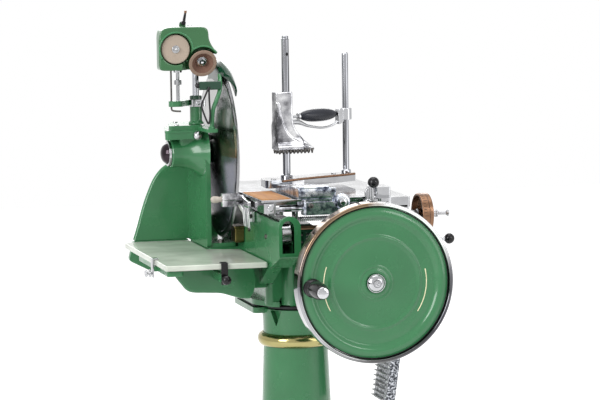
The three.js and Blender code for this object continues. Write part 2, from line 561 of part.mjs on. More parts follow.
// Sharpener on its post: it turns on the post, and its head slides down a rod
function sharpener() {
  const postTop = standTop + postHeight;
  const blockTop = postTop + 14;
  const headBottom = edgeTop - 3.4;
  piece('sharpener_post', turned('z', [postX, postY], [
    [0, standTop + seat], [15, standTop + seat], [15, standTop + 3], [postRadius, standTop + 6],
    [postRadius, postTop], [6, postTop], [6, postTop + 10], [0, postTop + 10],
  ], 14), paint);
  piece('sharpener_bracket', cut(slab('z', rounded([[-180, 104], [-149, 104], [-149, 136], [-180, 136]], 3),
    postTop + seat, blockTop, 1),
  bore('z', [postX, postY], 6, postTop, postTop + 10.5)), chrome);
  const [guideX, guideY] = [-208.5, 90];
  const [hookX, hookY] = [-222.7, 86];
  piece('sharpener_arm', cut(slab('z', rounded([[-180 - seat, 110], [-180 - seat, 131], [-204, 112],
    [-224, 98], [-229, 88], [-224, 78], [-206, 76], [-194, 92]], 5), blockTop - 11, blockTop, 1),
  bore('z', [guideX, guideY], 3.5, blockTop - 30, blockTop + 30, 10),
  bore('z', [hookX, hookY], 2.6, blockTop - 30, blockTop + 30, 8)), paint);
  piece('sharpener_collar', ring('z', [postX, postY], (slideRadius + run) / Math.cos(Math.PI / 14), 12,
    blockTop + seat, blockTop + 8, 14), darkPaint);
  piece('sharpener_rod',
    rod('z', [postX, postY], slideRadius, blockTop + seat, headBottom + 26, 14), chrome);
  piece('hook_rod', bent([[hookX, hookY, headBottom + 3], [hookX, hookY, blockTop + 27],
    [hookX, hookY, blockTop - 3], [hookX, hookY, blockTop - 15], [hookX + 2, hookY - 1, blockTop - 18.5],
    [hookX + 8, hookY - 4, blockTop - 19.6], [hookX + 17, hookY - 8, blockTop - 20]], 2.4, 14), steel);
  piece('guide_rod', turned('z', [guideX, guideY], [
    [0, blockTop - 9], [3.5, blockTop - 9], [3.5, headBottom - 29.6], [7.5, headBottom - 28.6],
    [7.5, headBottom - 19.6], [3.5, headBottom - 18.6], [3.5, headBottom - 5.6], [8.5, headBottom - 4.6],
    [8.5, headBottom - seat], [0, headBottom - seat],
  ], 10), chrome);

  // Head: its front outline and its plan, with the recesses for both stones
  const frontShape = rounded([[-253, headBottom + 3], [-253, edgeTop + 66], [-243, edgeTop + 82],
    [-160, edgeTop + 82], [-153.5, edgeTop + 74], [-153, edgeTop + 53], [-136, edgeTop + 29],
    [-135, edgeTop + 8], [-146, headBottom], [-244, headBottom + 1]], 9);
  const plan = [[-253, 50], [-135, 50], [-135, 100], ...arc([postX, postY], 31, 0, Math.PI / 2, 4),
    [-202, 150], [-230, 126], [-245, 98], [-253, 76]];
  const tilted = (solidMaker) => {
    const turn = new THREE.Matrix4().makeRotationX(cupTilt).setPosition(cupStone);
    return solidMaker.transform(turn.elements);
  };
  const ear = slab('y', rounded([[-202, edgeTop + 73], [-186, edgeTop + 73], [-188, edgeTop + 91],
    [-198, edgeTop + 91]], 3), 105, 110);
  const shell = join(slab('y', frontShape, 50, 160).intersect(slab('z', plan, 0, 2000)), ear);
  const hole = stoneRadius + 2.2;
  piece('sharpener_head', cut(shell,
    rod('y', [flatStone.x, flatStone.z], hole, 40, 76, 16),
    rod('y', [cupStone.x, cupStone.z + 1], hole + 0.6, 40, 83, 16),
    block(-206, -140, 40, 70, headBottom - 10, headBottom + 18, 8),
    bore('y', [flatStone.x, flatStone.z], 5, 70, 91, 10),
    tilted(bore('y', [0, 0], 5, 10, 33, 10)),
    bore('z', [postX, postY], slideRadius, headBottom - 10, headBottom + 44, 14),
    rod('z', [hookX, hookY], 3.2, headBottom - 10, headBottom + 20, 8)), paint);
  const front = flatStone.y;
  piece('flat_stone', turned('y', [flatStone.x, flatStone.z], [
    [0, front - 6], [7, front - 5], [7, front], [stoneRadius, front], [stoneRadius, front + 13],
    [9, front + 14], [9, front + 19], [5, front + 19], [5, front + 33], [0, front + 33],
  ], 16), stone);
  piece('cup_stone', tilted(turned('y', [0, 0], [
    [0, 3], [7, 4], [7, 11], [13, 12], [20.5, 1.5], [27.5, 0], [18, 17.5],
    [9, 18], [9, 20], [5, 20], [5, 31], [0, 31],
  ], 16)), stone);
  const leverBottom = edgeTop + 84;
  piece('head_lever', join(slab('y', rounded([[-197, leverBottom], [-189, leverBottom],
    [-186, leverBottom + 29], [-190, leverBottom + 29]], 2), 96, 104),
  rod('y', [-193, leverBottom + 5], 6, 96, 105 - seat, 10)), black);
}

// Carriage: frame with its runner and right feet, board, cross bar and feed screw with its dial
function carriage() {
  const under = tableTop - tableThick - seat;
  const left = slab('z', rounded([[-113, tableFront - 12], [-90, tableFront - 12], [-90, tableBack],
    [-113, tableBack]], 3), 956, under);
  const runnerBottom = rollerHeight + rollerRadius + seat;
  const runner = join(block(-86, -69, -235, -180, runnerBottom, 948),
    block(-86, -69, -184, 186, runnerBottom, 958));
  const tie = block(-100, -69, -183, 186, 950, 962);
  const crosses = [-184, 0, 160].map((y) => block(-92, 124, y, y + 24, 961, under));
  const right = slab('z', rounded([[112, tableFront - 12], [134, tableFront - 12], [137, tableFront + 5],
    [179, tableFront + 5], [179, tableBack], [112, tableBack]], 3), 956, 976, 1.5);
  const whiteBlock = slab('z', rounded([[116, -175], [146, -175], [146, -125], [116, -125]], 3),
    970, 994);
  const feet = [[-195, -145], [140, 186]]
    .map(([from, to]) => block(152, 176, from, to, railTop + seat, 960));
  const bracket = block(-46, -40, screwY - 14, screwY + 14, 929, under);
  const leverLug = block(82, 116, tableFront - 5.6, tableFront + 12, barHeight + barRadius + 0.6, under);
  piece('carriage_frame', cut(
    join(left, runner, tie, ...crosses, right, whiteBlock, ...feet, bracket, leverLug),
    bore('x', [tableFront, barHeight], barRadius, -100, 125, 10),
    bore('x', [screwY, screwHeight], screwRadius, -50, 180, 10)), chrome);
  piece('table_board', slab('z', rounded([[tableLeft, tableFront], [tableRight, tableFront],
    [tableRight, tableBack], [tableLeft, tableBack]], 3), tableTop - tableThick, tableTop, 1), board);
  piece('cross_bar', rod('x', [tableFront, barHeight], barRadius, -100 + seat, 125 - seat, 10), chrome);

  const dialLeft = 200;
  const thread = [[0, -47], [screwRadius, -47]];
  for (let x = -22; x < 100; x += 45) {
    const root = screwRadius - 1;
    thread.push([screwRadius, x], [root, x + 1.5], [root, x + 5], [screwRadius, x + 6.5]);
  }
  thread.push([screwRadius, 182], [8, 183], [8, dialLeft - 0.4], [screwRadius, dialLeft - 0.4],
    [screwRadius, 235], [0, 235]);
  piece('feed_screw', turned('x', [screwY, screwHeight], thread, 8), steel);
  const drum = turned('x', [screwY, screwHeight], [
    [screwRadius + run, dialLeft], [10, dialLeft], [10, dialLeft + 12], [34, dialLeft + 12],
    [35, dialLeft], [38.5, dialLeft], [40, dialLeft + 1.5], [40, dialLeft + 20.5],
    [38.5, dialLeft + 22], [screwRadius + run, dialLeft + 22],
  ], 18);
  const windows = [];
  for (let i = 0; i < 5; i += 1) {
    const angle = (Math.PI * 2 * i) / 5 + 0.3;
    windows.push(rod('x', [screwY + 22 * Math.cos(angle), screwHeight + 22 * Math.sin(angle)], 7.5,
      dialLeft + 5, dialLeft + 30, 6));
  }
  piece('feed_dial', cut(drum, ...windows), chrome);
  const armX = dialLeft + 22 + seat;
  const crank = slab('x', rounded([[screwY - 9, screwHeight + 8], [screwY + 9, screwHeight + 8],
    [screwY + 4, screwHeight - 40], [screwY - 2, screwHeight - 56], [screwY - 16, screwHeight - 56],
    [screwY - 16, screwHeight - 44]], 6), armX, armX + 6);
  const knobY = screwY - 9;
  const knobHeight = screwHeight - 49;
  piece('feed_crank', cut(join(crank, rod('x', [knobY, knobHeight], 3.5, armX + 3, 256, 8),
    ball(10.5, 262, knobY, knobHeight)),
  bore('x', [screwY, screwHeight], screwRadius, armX - 1, armX + 8)), chrome);
  piece('dial_screw', cut(turned('x', [screwY, screwHeight], [
    [0, 256], [5, 256], [5, 249], [11, 248], [11, 238], [7, 237], [7, armX + 6 + seat],
    [0, armX + 6 + seat],
  ], 12), bore('x', [screwY, screwHeight], screwRadius, 220, 235 + seat)), steel);

  // Lever that lets go of the feed nut
  const [leverX, leverHeight, leverY] = [90, 971, tableFront - 9];
  piece('nut_lever', join(
    slab('y', rounded([[leverX - 4, leverHeight], [leverX + 6, leverHeight], [leverX + 11, 994],
      [leverX, 1000], [leverX - 15, 993]], 3), leverY - 3, leverY + 3),
    rod('y', [leverX, leverHeight], 6, leverY - 4, leverY + 3, 10),
    bent([[leverX + 2, leverY, 990], [leverX + 5, leverY, 995], [leverX + 10, leverY, 1003]], 3, 4),
    ball(11, leverX + 11.5, leverY, 1007)), chrome);
}

// Feed slide: block on the cross bar, plate with two rods
function feedSlide() {
  const over = tableTop + 0.4;
  const low = slab('z', rounded([[-37, tableFront - 14], [34, tableFront - 14], [34, tableFront + 14],
    [-37, tableFront + 14]], 4), 950, tableTop - tableThick - 2 * seat);
  const wall = block(-37, 30, tableFront - 14, tableFront - 0.6, 952, 1000);
  const high = slab('x', rounded([[tableFront - 14, over], [tableFront - 14, 1001], [-160, 1001],
    [-60, 994], [-42, 993], [-42, over]], 4), -47, 17, 2);
  const toe = block(-32, 12, -60, 20, over, over + 3.4);
  const boss = turned('y', [37, 974], [[0, -226], [12, -226], [15, -222], [15.5, -214.6], [10, -214.6],
    [10, -206], [0, -206]], 16);
  const nut = block(30, 54, screwY - 26, screwY + 14, 929, 953, 0);
  piece('feed_block', cut(join(low, wall, high, toe, boss, nut),
    bore('x', [tableFront, barHeight], barRadius, -60, 70, 10),
    bore('x', [screwY, screwHeight], screwRadius, 0, 70, 10)), iron);
  piece('rod_plate', slab('z', rounded([[-62, -34], [-38, -36], [20, -14], [110, 28], [142, 48], [143, 66],
    [128, 78], [110, 76], [50, 58], [-30, 32], [-60, 18]], 8), over + 3.4 + seat, rodPlateTop), chrome);
  const tip = 1275;
  piece('rod_left', turned('z', [leftRod.x, leftRod.y], [
    [0, rodPlateTop + seat], [12, rodPlateTop + seat], [12, rodPlateTop + 3],
    [leftRodRadius, rodPlateTop + 4], [leftRodRadius, tip - 4], [leftRodRadius + 1.4, tip - 2],
    [leftRodRadius + 0.8, tip], [0, tip],
  ], 14), chrome);
  piece('rod_right', turned('z', [leftRod.x + rodSpan.x, leftRod.y + rodSpan.y], [
    [0, rodPlateTop + seat], [10, rodPlateTop + seat], [10, rodPlateTop + 3],
    [rightRodRadius, rodPlateTop + 4], [rightRodRadius, 1240], [0, 1242],
  ], 14), chrome);
}

// Press on the two rods: claw with its teeth, bar with its collar, black grip. It is drawn along the
// line from the left rod to the right one, then turned into place.
function press() {
  const reach = rodSpan.length();
  const place = new THREE.Matrix4().makeRotationZ(rodSpan.angle());
  place.setPosition(leftRod.x, leftRod.y, 0);
  const claw = slab('y', rounded([[-24, 1171], [14, 1170], [14, 1096], [26, 1088], [46, 1077], [60, 1057],
    [-22, 1059], [-21, 1085], [-24, 1110]], 5), -11, 11);
  const sleeve = rod('z', [0, 0], 14.5, 1078, 1171, 14);
  const toothed = new THREE.Shape();
  toothed.moveTo(-24, 1065);
  for (let i = 0; i < 8; i += 1) {
    toothed.lineTo(-24 + i * 10.6, 1058);
    toothed.lineTo(-20.5 + i * 10.6, 1050);
  }
  toothed.lineTo(60, 1058);
  toothed.lineTo(60, 1065);
  toothed.closePath();
  const rows = [-11, 5].map((y) => slab('y', toothed, y, y + 6));
  const gripFrom = 33;
  const gripTo = reach - 24;
  piece('press_claw', cut(join(claw, sleeve, ...rows),
    bore('z', [0, 0], leftRodRadius, 1000, 1200, 14),
    bore('x', [0, 1121], 3, 10, 20, 8)), chrome, place);
  const collar = ring('z', [reach, 0], rightRodRadius + run, 12.5, 1107, 1131, 14);
  const lug = slab('y', rounded([[reach - 22, 1098], [reach - 8, 1104], [reach - 8, 1130],
    [reach - 22, 1130]], 4), -6, 6);
  const bar = bent([[18, 0, 1101], [40, 0, 1101], [70, 0, 1101], [reach - 34, 0, 1101],
    [reach - 18, 0, 1105]], 4.2, 8);
  const clearClaw = rod('z', [0, 0], 14.5 + 2 * seat, 1060, 1120, 24);
  piece('press_bar', cut(join(collar, lug, bar), clearClaw,
    bore('z', [reach, 0], rightRodRadius, 1000, 1200, 14),
    bore('x', [0, 1121], 3, reach - 23, reach - 12, 8)), chrome, place);
  piece('press_grip', turned('x', [0, 1121], [
    [0, 12], [3, 12], [3, gripFrom - 1], [8, gripFrom], [11, gripFrom + 8], [12.5, gripFrom + 28],
    [12.5, gripTo - 30], [11, gripTo - 9], [8, gripTo], [3, gripTo + 1], [3, reach - 13], [0, reach - 13],
  ], 14), black, place);
}

// Spare spiked plate that hangs from the right arm beside the pedestal
function spikedPlate() {
  const tilt = new THREE.Matrix4().makeRotationY(THREE.MathUtils.degToRad(8)).setPosition(180, -60, 696);
  const back = slab('x', rounded([[-47, -138], [47, -138], [47, 0], [-47, 0]], 5), -6, 6);
  const edge = slab('x', rounded([[-47, -138], [-30, -138], [-30, 0], [-47, 0]], 5), -9, 9);
  const studs = [];
  for (let row = 0; row < 6; row += 1) {
    for (let column = 0; column < 4; column += 1) {
      const profile = [[0, -14], [3.2, -5], [0, -4.9]];
      studs.push(turned('x', [-19 + column * 18, -126 + row * 22], profile, 4));
    }
  }
  const board = join(back, edge, ...studs).transform(tilt.elements);
  const hanger = rod('z', [180, -60], 4, 690, 800 - seat, 8);
  piece('spiked_plate', join(board, hanger), steel);
}

pedestal();
const onTheHead = machine.children.length;
base();
flywheel();
blade();
receivingPlate();
deflector();
sharpener();
carriage();
feedSlide();
press();
spikedPlate();

// What stands on the pedestal is drawn for a head top at 749, and goes up or down with the head
machine.children.slice(onTheHead).forEach((mesh) => mesh.geometry.translate(0, 0, headTop - 749));

// The origin goes to the middle of the box's bottom
const box = new THREE.Box3().setFromObject(machine);
const middle = box.getCenter(new THREE.Vector3());
machine.children.forEach((mesh) => mesh.geometry.translate(-middle.x, -middle.y, -box.min.z));

export default machine;
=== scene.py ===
"""Looks of the hand crank meat slicer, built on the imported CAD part. Metres, +Z up, flywheel towards -Y."""

import json
import math

import bmesh
import bpy
from mathutils import Matrix, Vector

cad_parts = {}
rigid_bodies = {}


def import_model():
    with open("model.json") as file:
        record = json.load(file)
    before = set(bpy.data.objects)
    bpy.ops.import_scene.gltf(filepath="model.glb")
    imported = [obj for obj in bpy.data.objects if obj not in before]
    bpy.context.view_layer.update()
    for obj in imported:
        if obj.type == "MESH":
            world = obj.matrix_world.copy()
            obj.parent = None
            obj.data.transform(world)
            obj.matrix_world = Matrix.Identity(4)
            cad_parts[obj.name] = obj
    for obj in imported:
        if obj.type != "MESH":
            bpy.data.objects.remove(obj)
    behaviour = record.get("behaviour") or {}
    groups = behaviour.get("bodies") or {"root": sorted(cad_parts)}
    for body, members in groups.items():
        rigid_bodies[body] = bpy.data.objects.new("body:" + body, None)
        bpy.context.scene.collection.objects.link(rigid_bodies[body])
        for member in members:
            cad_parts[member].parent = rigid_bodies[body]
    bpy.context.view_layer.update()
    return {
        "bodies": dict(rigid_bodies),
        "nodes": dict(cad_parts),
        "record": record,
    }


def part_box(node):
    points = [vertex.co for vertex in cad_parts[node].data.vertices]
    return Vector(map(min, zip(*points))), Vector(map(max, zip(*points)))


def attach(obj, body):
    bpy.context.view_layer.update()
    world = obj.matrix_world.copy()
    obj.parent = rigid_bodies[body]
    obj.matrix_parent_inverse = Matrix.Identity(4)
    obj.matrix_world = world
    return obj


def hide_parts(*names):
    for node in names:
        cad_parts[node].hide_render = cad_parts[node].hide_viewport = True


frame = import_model()
nodes = frame["nodes"]

# The pedestal's axis in the row frame. Places below are in millimetres from that axis.
low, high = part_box("pedestal")
AXIS_X, AXIS_Y = (low[0] + high[0]) / 2, (low[1] + high[1]) / 2


def place(x, y, z):
    return Vector((x / 1000 + AXIS_X, y / 1000 + AXIS_Y, z / 1000))


# Camera, fitted to the photograph: millimetres, the roll in degrees, the clip in metres
EYE, TARGET = (-1352.15, -5094.6, 1511.0), (12.07, -3.24, 957.0)
LENS, SENSOR, ROLL, CLIP_END = 162, 36, -0.8, 50


def placed(name, data):
    """A new object in the scene."""
    obj = bpy.data.objects.new(name, data)
    bpy.context.collection.objects.link(obj)
    return obj


def camera():
    data = bpy.data.cameras.new("camera")
    data.sensor_fit = "HORIZONTAL"
    data.sensor_width = SENSOR
    data.lens = LENS
    data.clip_end = CLIP_END
    obj = placed("camera", data)
    eye = place(*EYE)
    aim = (place(*TARGET) - eye).to_track_quat("-Z", "Y").to_matrix().to_4x4()
    obj.matrix_world = Matrix.Translation(eye) @ aim @ Matrix.Rotation(math.radians(ROLL), 4, "Z")
    bpy.context.scene.camera = obj


camera()

# Shapes. A shell is (corners, faces) in design millimetres.

SMALLEST = 1e-6  # below it a radius, or an edge in metres, counts as none
LONGEST = 0.48  # the share of an edge that the curve at its corner may take
SMOOTHING, FACES_KEPT = 0.5, 0.35  # for cast()


def spot(axis, middle, u, v, along):
    if axis == "x":
        return (along, middle[0] + u, middle[1] + v)
    if axis == "y":
        return (middle[0] + u, along, middle[1] + v)
    return (middle[0] + u, middle[1] + v, along)


def off(base, points):
    """The points, counted from base: a whole point, or a number for their last coordinate."""
    if isinstance(base, tuple):
        return [tuple(map(sum, zip(base, point))) for point in points]
    return [(*point[:-1], base + point[-1]) for point in points]


def on_circle(middle, radius, degrees):
    angle = math.radians(degrees)
    return middle[0] + radius * math.cos(angle), middle[1] + radius * math.sin(angle)


def turned(axis, middle, profile, sides, span=None):
    """A solid of revolution; with span=(from, to) in degrees it is a sector with closed ends."""
    corners, faces, rings = [], [], []
    count = sides if span is None else sides + 1
    first, last = span or (0, 360)
    for radius, along in profile:
        if radius < SMALLEST:
            rings.append([len(corners)] * count)
            corners.append(spot(axis, middle, 0, 0, along))
            continue
        rings.append(list(range(len(corners), len(corners) + count)))
        for i in range(count):
            angle = math.radians(first + (last - first) * i / sides)
            corners.append(spot(axis, middle, radius * math.cos(angle), radius * math.sin(angle), along))
    if profile[0][0] > 0 or span:
        rings.append(rings[0])
    for one, two in zip(rings, rings[1:]):
        for i in range(count if span is None else count - 1):
            j = (i + 1) % count
            face = list(dict.fromkeys((one[i], one[j], two[j], two[i])))
            if len(face) > 2:
                faces.append(face)
    if span:
        faces += [list(dict.fromkeys(one[end] for one in rings[:-1])) for end in (0, count - 1)]
    return corners, faces


def solid(axis, middle, profile, sides):
    """A solid of revolution whose ends run flat to the axis."""
    return turned(axis, middle, [(0, profile[0][1]), *profile, (0, profile[-1][1])], sides)


def rod(axis, middle, radius, start, end, sides):
    return turned(axis, middle, oblong(0, radius, start, end), sides)


def ring(axis, middle, inner, outer, start, end, sides):
    return turned(axis, middle, oblong(inner, outer, start, end), sides)


def ball(radius, x, y, z, rows, sides):
    profile = [(radius * math.sin(math.pi * i / rows), z - radius * math.cos(math.pi * i / rows))
        for i in range(rows + 1)]
    profile[0], profile[-1] = (0, z - radius), (0, z + radius)
    return turned("z", (x, y), profile, sides)


def rounded(points, radius, steps=5):
    """The outline with each corner turned into a curve of about that radius."""
    out = []
    for i, point in enumerate(points):
        here = Vector(point)
        before = Vector(points[i - 1]) - here
        after = Vector(points[(i + 1) % len(points)]) - here
        start = here + before.normalized() * min(radius, before.length * LONGEST)
        end = here + after.normalized() * min(radius, after.length * LONGEST)
        for k in range(steps + 1):
            t = k / steps
            out.append(tuple(start * (1 - t) ** 2 + here * 2 * t * (1 - t) + end * t * t))
    return out


def slab(axis, outline, start, end):
    """A slab of an outline: (Y, Z) along x, (X, Z) along y, (X, Y) along z."""
    count = len(outline)
    corners = [spot(axis, (0, 0), a, b, along) for along in (start, end) for a, b in outline]
    faces = [list(range(count))[::-1], list(range(count, 2 * count))]
    faces += [[i, (i + 1) % count, count + (i + 1) % count, count + i] for i in range(count)]
    return corners, faces


def soft(axis, outline, radius, start, end, steps=5):
    """A slab whose outline has rounded corners."""
    return slab(axis, rounded(outline, radius, steps), start, end)


def oblong(left, right, bottom, top):
    return [(left, bottom), (right, bottom), (right, top), (left, top)]


def block(x0, x1, y0, y1, z0, z1, corner=0):
    outline = oblong(x0, x1, y0, y1)
    return slab("z", rounded(outline, corner) if corner else outline, z0, z1)


def arc(middle, radius, start, end, count):
    return [on_circle(middle, radius, start + (end - start) * i / count) for i in range(count + 1)]


def flow(points, per):
    """A smooth line through the points (Catmull-Rom), ends kept."""
    points = [Vector(p) for p in points]
    out = []
    for i in range(len(points) - 1):
        p0, p3 = points[max(i - 1, 0)], points[min(i + 2, len(points) - 1)]
        p1, p2 = points[i], points[i + 1]
        for k in range(per):
            t = k / per
            out.append(0.5 * ((2 * p1) + (p2 - p0) * t + (2 * p0 - 5 * p1 + 4 * p2 - p3) * t * t
                + (3 * p1 - p0 - 3 * p2 + p3) * t ** 3))
    return [tuple(p) for p in [*out, points[-1]]]


def bent(points, radius, sides, per):
    """A round bar along a smooth line. radius may be a list, spread evenly over the line."""
    line = [Vector(p) for p in flow(points, per)]
    count = len(line)
    radii = radius if isinstance(radius, list) else [radius, radius]
    corners, faces = [], []
    normal = None
    for i, here in enumerate(line):
        ahead = (line[min(i + 1, count - 1)] - line[max(i - 1, 0)]).normalized()
        if normal is None:
            normal = ahead.orthogonal().normalized()
        normal = (normal - ahead * normal.dot(ahead)).normalized()
        side = ahead.cross(normal)
        share = i / (count - 1) * (len(radii) - 1)
        step = min(int(share), len(radii) - 2)
        size = radii[step] + (radii[step + 1] - radii[step]) * (share - step)
        for k in range(sides):
            angle = 2 * math.pi * k / sides
            corners.append(tuple(here + size * (math.cos(angle) * normal + math.sin(angle) * side)))
    for i in range(count - 1):
        for k in range(sides):
            j = (k + 1) % sides
            faces.append([i * sides + k, i * sides + j, (i + 1) * sides + j, (i + 1) * sides + k])
    faces.append(list(range(sides))[::-1])
    faces.append([(count - 1) * sides + k for k in range(sides)])
    return corners, faces


def turn_at(middle, degrees, axis="Z"):
    """The matrix that turns by degrees and then moves to middle."""
    return Matrix.Translation(middle) @ Matrix.Rotation(math.radians(degrees), 4, axis)


def moved(matrix, *shells):
    corners, faces = join(*shells)
    return [tuple(matrix @ Vector(corner)) for corner in corners], faces


def join(*shells):
    corners, faces = [], []
    for shell_corners, shell_faces in shells:
        base = len(corners)
        corners += shell_corners
        faces += [[index + base for index in face] for face in shell_faces]
    return corners, faces


def mend(mesh, small=0.0):
    """Turns the faces outwards and drops edges shorter than small."""
    work = bmesh.new()
    work.from_mesh(mesh)
    if small:
        bmesh.ops.dissolve_degenerate(work, dist=small, edges=work.edges)
    bmesh.ops.recalc_face_normals(work, faces=work.faces)
    work.to_mesh(mesh)
    work.free()


def temporary(shell):
    """The shell as an object in millimetres, for a boolean."""
    mesh = bpy.data.meshes.new("temporary")
    mesh.from_pydata(shell[0], [], shell[1])
    mend(mesh)
    return placed("temporary", mesh)


def evaluated(obj):
    graph = bpy.context.evaluated_depsgraph_get()
    return bpy.data.meshes.new_from_object(obj.evaluated_get(graph))


def shell_of(obj, *others):
    """The object with its modifiers applied, as a shell. It and the others are removed."""
    mesh = evaluated(obj)
    shell = ([tuple(v.co) for v in mesh.vertices], [list(p.vertices) for p in mesh.polygons])
    bpy.data.meshes.remove(mesh)
    for item in (obj, *others):
        data = item.data
        bpy.data.objects.remove(item)
        bpy.data.meshes.remove(data)
    return shell


def combine(operation, first, *others):
    obj = temporary(first)
    cutters = [temporary(other) for other in others]
    for cutter in cutters:
        modifier = obj.modifiers.new("boolean", "BOOLEAN")
        modifier.operation = operation
        modifier.solver = "EXACT"
        modifier.object = cutter
    return shell_of(obj, *cutters)


def cut(first, *others):
    return combine("DIFFERENCE", first, *others)


def cast(shell, grain, passes):
    """The shell remade in even small faces and smoothed, so that its edges and corners turn into fillets."""
    obj = temporary(shell)
    remesh = obj.modifiers.new("remesh", "REMESH")
    remesh.mode = "VOXEL"
    remesh.voxel_size = grain
    smooth = obj.modifiers.new("smooth", "SMOOTH")
    smooth.factor = SMOOTHING
    smooth.iterations = passes
    obj.modifiers.new("fewer", "DECIMATE").ratio = FACES_KEPT
    return shell_of(obj)


body_of = {name: next(body for body, empty in frame["bodies"].items() if obj.parent is empty)
    for name, obj in nodes.items()}
slot_of = {entry["node"]: entry["material_slot"] for entry in frame["record"]["subparts"]}
SHARP, BEVEL_STEPS = 32.0, 3


def piece(node, *groups, width):
    """Builds the visible piece that stands for a CAD node. Each group is (material, shell, shell, ...).

    Edges sharper than SHARP degrees get a bevel of that width in millimetres."""
    mesh = bpy.data.meshes.new(node + "_fine")
    corners, faces, numbers = [], [], []
    for number, (material, *shells) in enumerate(groups):
        mesh.materials.append(material)
        shell_corners, shell_faces = join(*shells)
        base = len(corners)
        corners += [place(*corner) for corner in shell_corners]
        faces += [[index + base for index in face] for face in shell_faces]
        numbers += [number] * len(shell_faces)
    mesh.from_pydata(corners, [], faces)
    for polygon, number in zip(mesh.polygons, numbers):
        polygon.material_index = number
        polygon.use_smooth = True
    mend(mesh, SMALLEST)
    obj = placed(node + "_fine", mesh)
    if width:
        bevel = obj.modifiers.new("bevel", "BEVEL")
        bevel.limit_method = "ANGLE"
        bevel.angle_limit = math.radians(SHARP)
        bevel.width = width / 1000
        bevel.segments = BEVEL_STEPS
        bevel.use_clamp_overlap = True
    obj.modifiers.new("weighted", "WEIGHTED_NORMAL").keep_sharp = True
    final = evaluated(obj)
    final.name = mesh.name
    obj.modifiers.clear()
    obj.data = final
    bpy.data.meshes.remove(mesh)
    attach(obj, body_of[node])
    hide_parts(node)


# Materials, all from nodes

NOISE_LOW, NOISE_HIGH = 0.3, 0.7  # where most of a noise lies


def fill(tree, node, **inputs):
    """Sets inputs to a number or colour, or links them to an output. Base_Color stands for "Base Color"."""
    for name, value in inputs.items():
        socket = node.inputs[name.replace("_", " ")]
        if isinstance(value, bpy.types.NodeSocket):
            tree.links.new(value, socket)
        else:
            socket.default_value = value


def add(tree, kind, output, **inputs):
    """A new node with these inputs; gives back its output."""
    node = tree.nodes.new("ShaderNode" + kind)
    fill(tree, node, **inputs)
    return node.outputs[output]


def maths(tree, operation, first, second):
    node = tree.nodes.new("ShaderNodeMath")
    node.operation = operation
    tree.links.new(first, node.inputs[0])
    if isinstance(second, float):
        node.inputs[1].default_value = second
    else:
        tree.links.new(second, node.inputs[1])
    return node.outputs["Value"]


def new_material(name):
    material = bpy.data.materials.new(name)
    material.use_nodes = True
    return material, material.node_tree, material.node_tree.nodes["Principled BSDF"]


def noise(tree, scale, detail=3.0, stretch=None):
    source = add(tree, "TexCoord", "Object")
    if stretch:
        source = add(tree, "Mapping", "Vector", Scale=stretch, Vector=source)
    return add(tree, "TexNoise", "Fac", Scale=scale, Detail=detail, Vector=source)


def ramp(tree, source, stops):
    node = tree.nodes.new("ShaderNodeValToRGB")
    elements = node.color_ramp.elements
    elements[0].position, elements[1].position = stops[0][0], stops[-1][0]
    elements[0].color, elements[1].color = (*stops[0][1], 1), (*stops[-1][1], 1)
    for position, color in stops[1:-1]:
        elements.new(position).color = (*color, 1)
    tree.links.new(source, node.inputs["Fac"])
    return node.outputs["Color"]


def value_range(tree, source, low_value, high_value):
    """Spreads the noise over the two values."""
    return add(tree, "MapRange", "Result", From_Min=NOISE_LOW, From_Max=NOISE_HIGH, To_Min=low_value,
        To_Max=high_value, Value=source)


def bump(tree, source, strength, distance=0.0002):
    return add(tree, "Bump", "Normal", Strength=strength, Distance=distance, Height=source)


def shade(base, factor):
    return tuple(min(1.0, channel * factor) for channel in base)


def enamel(name, base):
    """Thick glossy paint over cast iron: slow colour drift and a faint orange peel."""
    material, tree, shader = new_material(name)
    tones = [(0.25, shade(base, 0.86)), (0.5, base), (0.8, shade(base, 1.1))]
    fill(tree, shader, Base_Color=ramp(tree, noise(tree, 9.0, 4.0), tones),
        Roughness=value_range(tree, noise(tree, 30.0), 0.16, 0.3), Coat_Weight=0.3, Coat_Roughness=0.05,
        Specular_IOR_Level=0.4, Normal=bump(tree, noise(tree, 260.0, 2.0), 0.1, 0.00025))
    return material


def metal(name, base, rough, spread, scale, strength, stretch=None, dark=0.9):
    material, tree, shader = new_material(name)
    grain = noise(tree, scale, 4.0, stretch)
    fill(tree, shader, Base_Color=ramp(tree, grain, [(0.3, shade(base, dark)), (0.7, shade(base, 1.04))]),
        Roughness=value_range(tree, grain, rough, rough + spread), Metallic=1.0)
    if strength:
        fill(tree, shader, Normal=bump(tree, grain, strength))
    return material


def lacquer(name, base, rough, scale=60.0, strength=0.1):
    material, tree, shader = new_material(name)
    grain = noise(tree, scale, 3.0)
    fill(tree, shader, Base_Color=ramp(tree, grain, [(0.3, shade(base, 0.8)), (0.7, shade(base, 1.15))]),
        Roughness=value_range(tree, grain, rough, rough + 0.1), Specular_IOR_Level=0.3,
        Normal=bump(tree, grain, strength))
    return material


def board_wood(name):
    """Varnished board: long grain along Y with darker lines."""
    material, tree, shader = new_material(name)
    grain = noise(tree, 22.0, 6.0, (9.0, 0.5, 9.0))
    tones = [(0.3, (0.27, 0.11, 0.035)), (0.5, (0.4, 0.19, 0.07)), (0.72, (0.48, 0.25, 0.1))]
    fill(tree, shader, Base_Color=ramp(tree, grain, tones), Roughness=value_range(tree, grain, 0.45, 0.55),
        Specular_IOR_Level=0.02, Normal=bump(tree, grain, 0.08))
    return material


def mottled(name, stops, scale, rough):
    """Bright metal over a rough casting: uneven dark and light patches with a hammered surface. On the claw
    and deflector chrome the patches are painted reflections.
    """
    material, tree, shader = new_material(name)
    fill(tree, shader, Base_Color=ramp(tree, noise(tree, scale, 7.0), stops), Metallic=0.9,
        Roughness=value_range(tree, noise(tree, 90.0), rough, rough + 0.14),
        Normal=bump(tree, noise(tree, scale * 5, 3.0), 0.35, 0.0006))
    return material


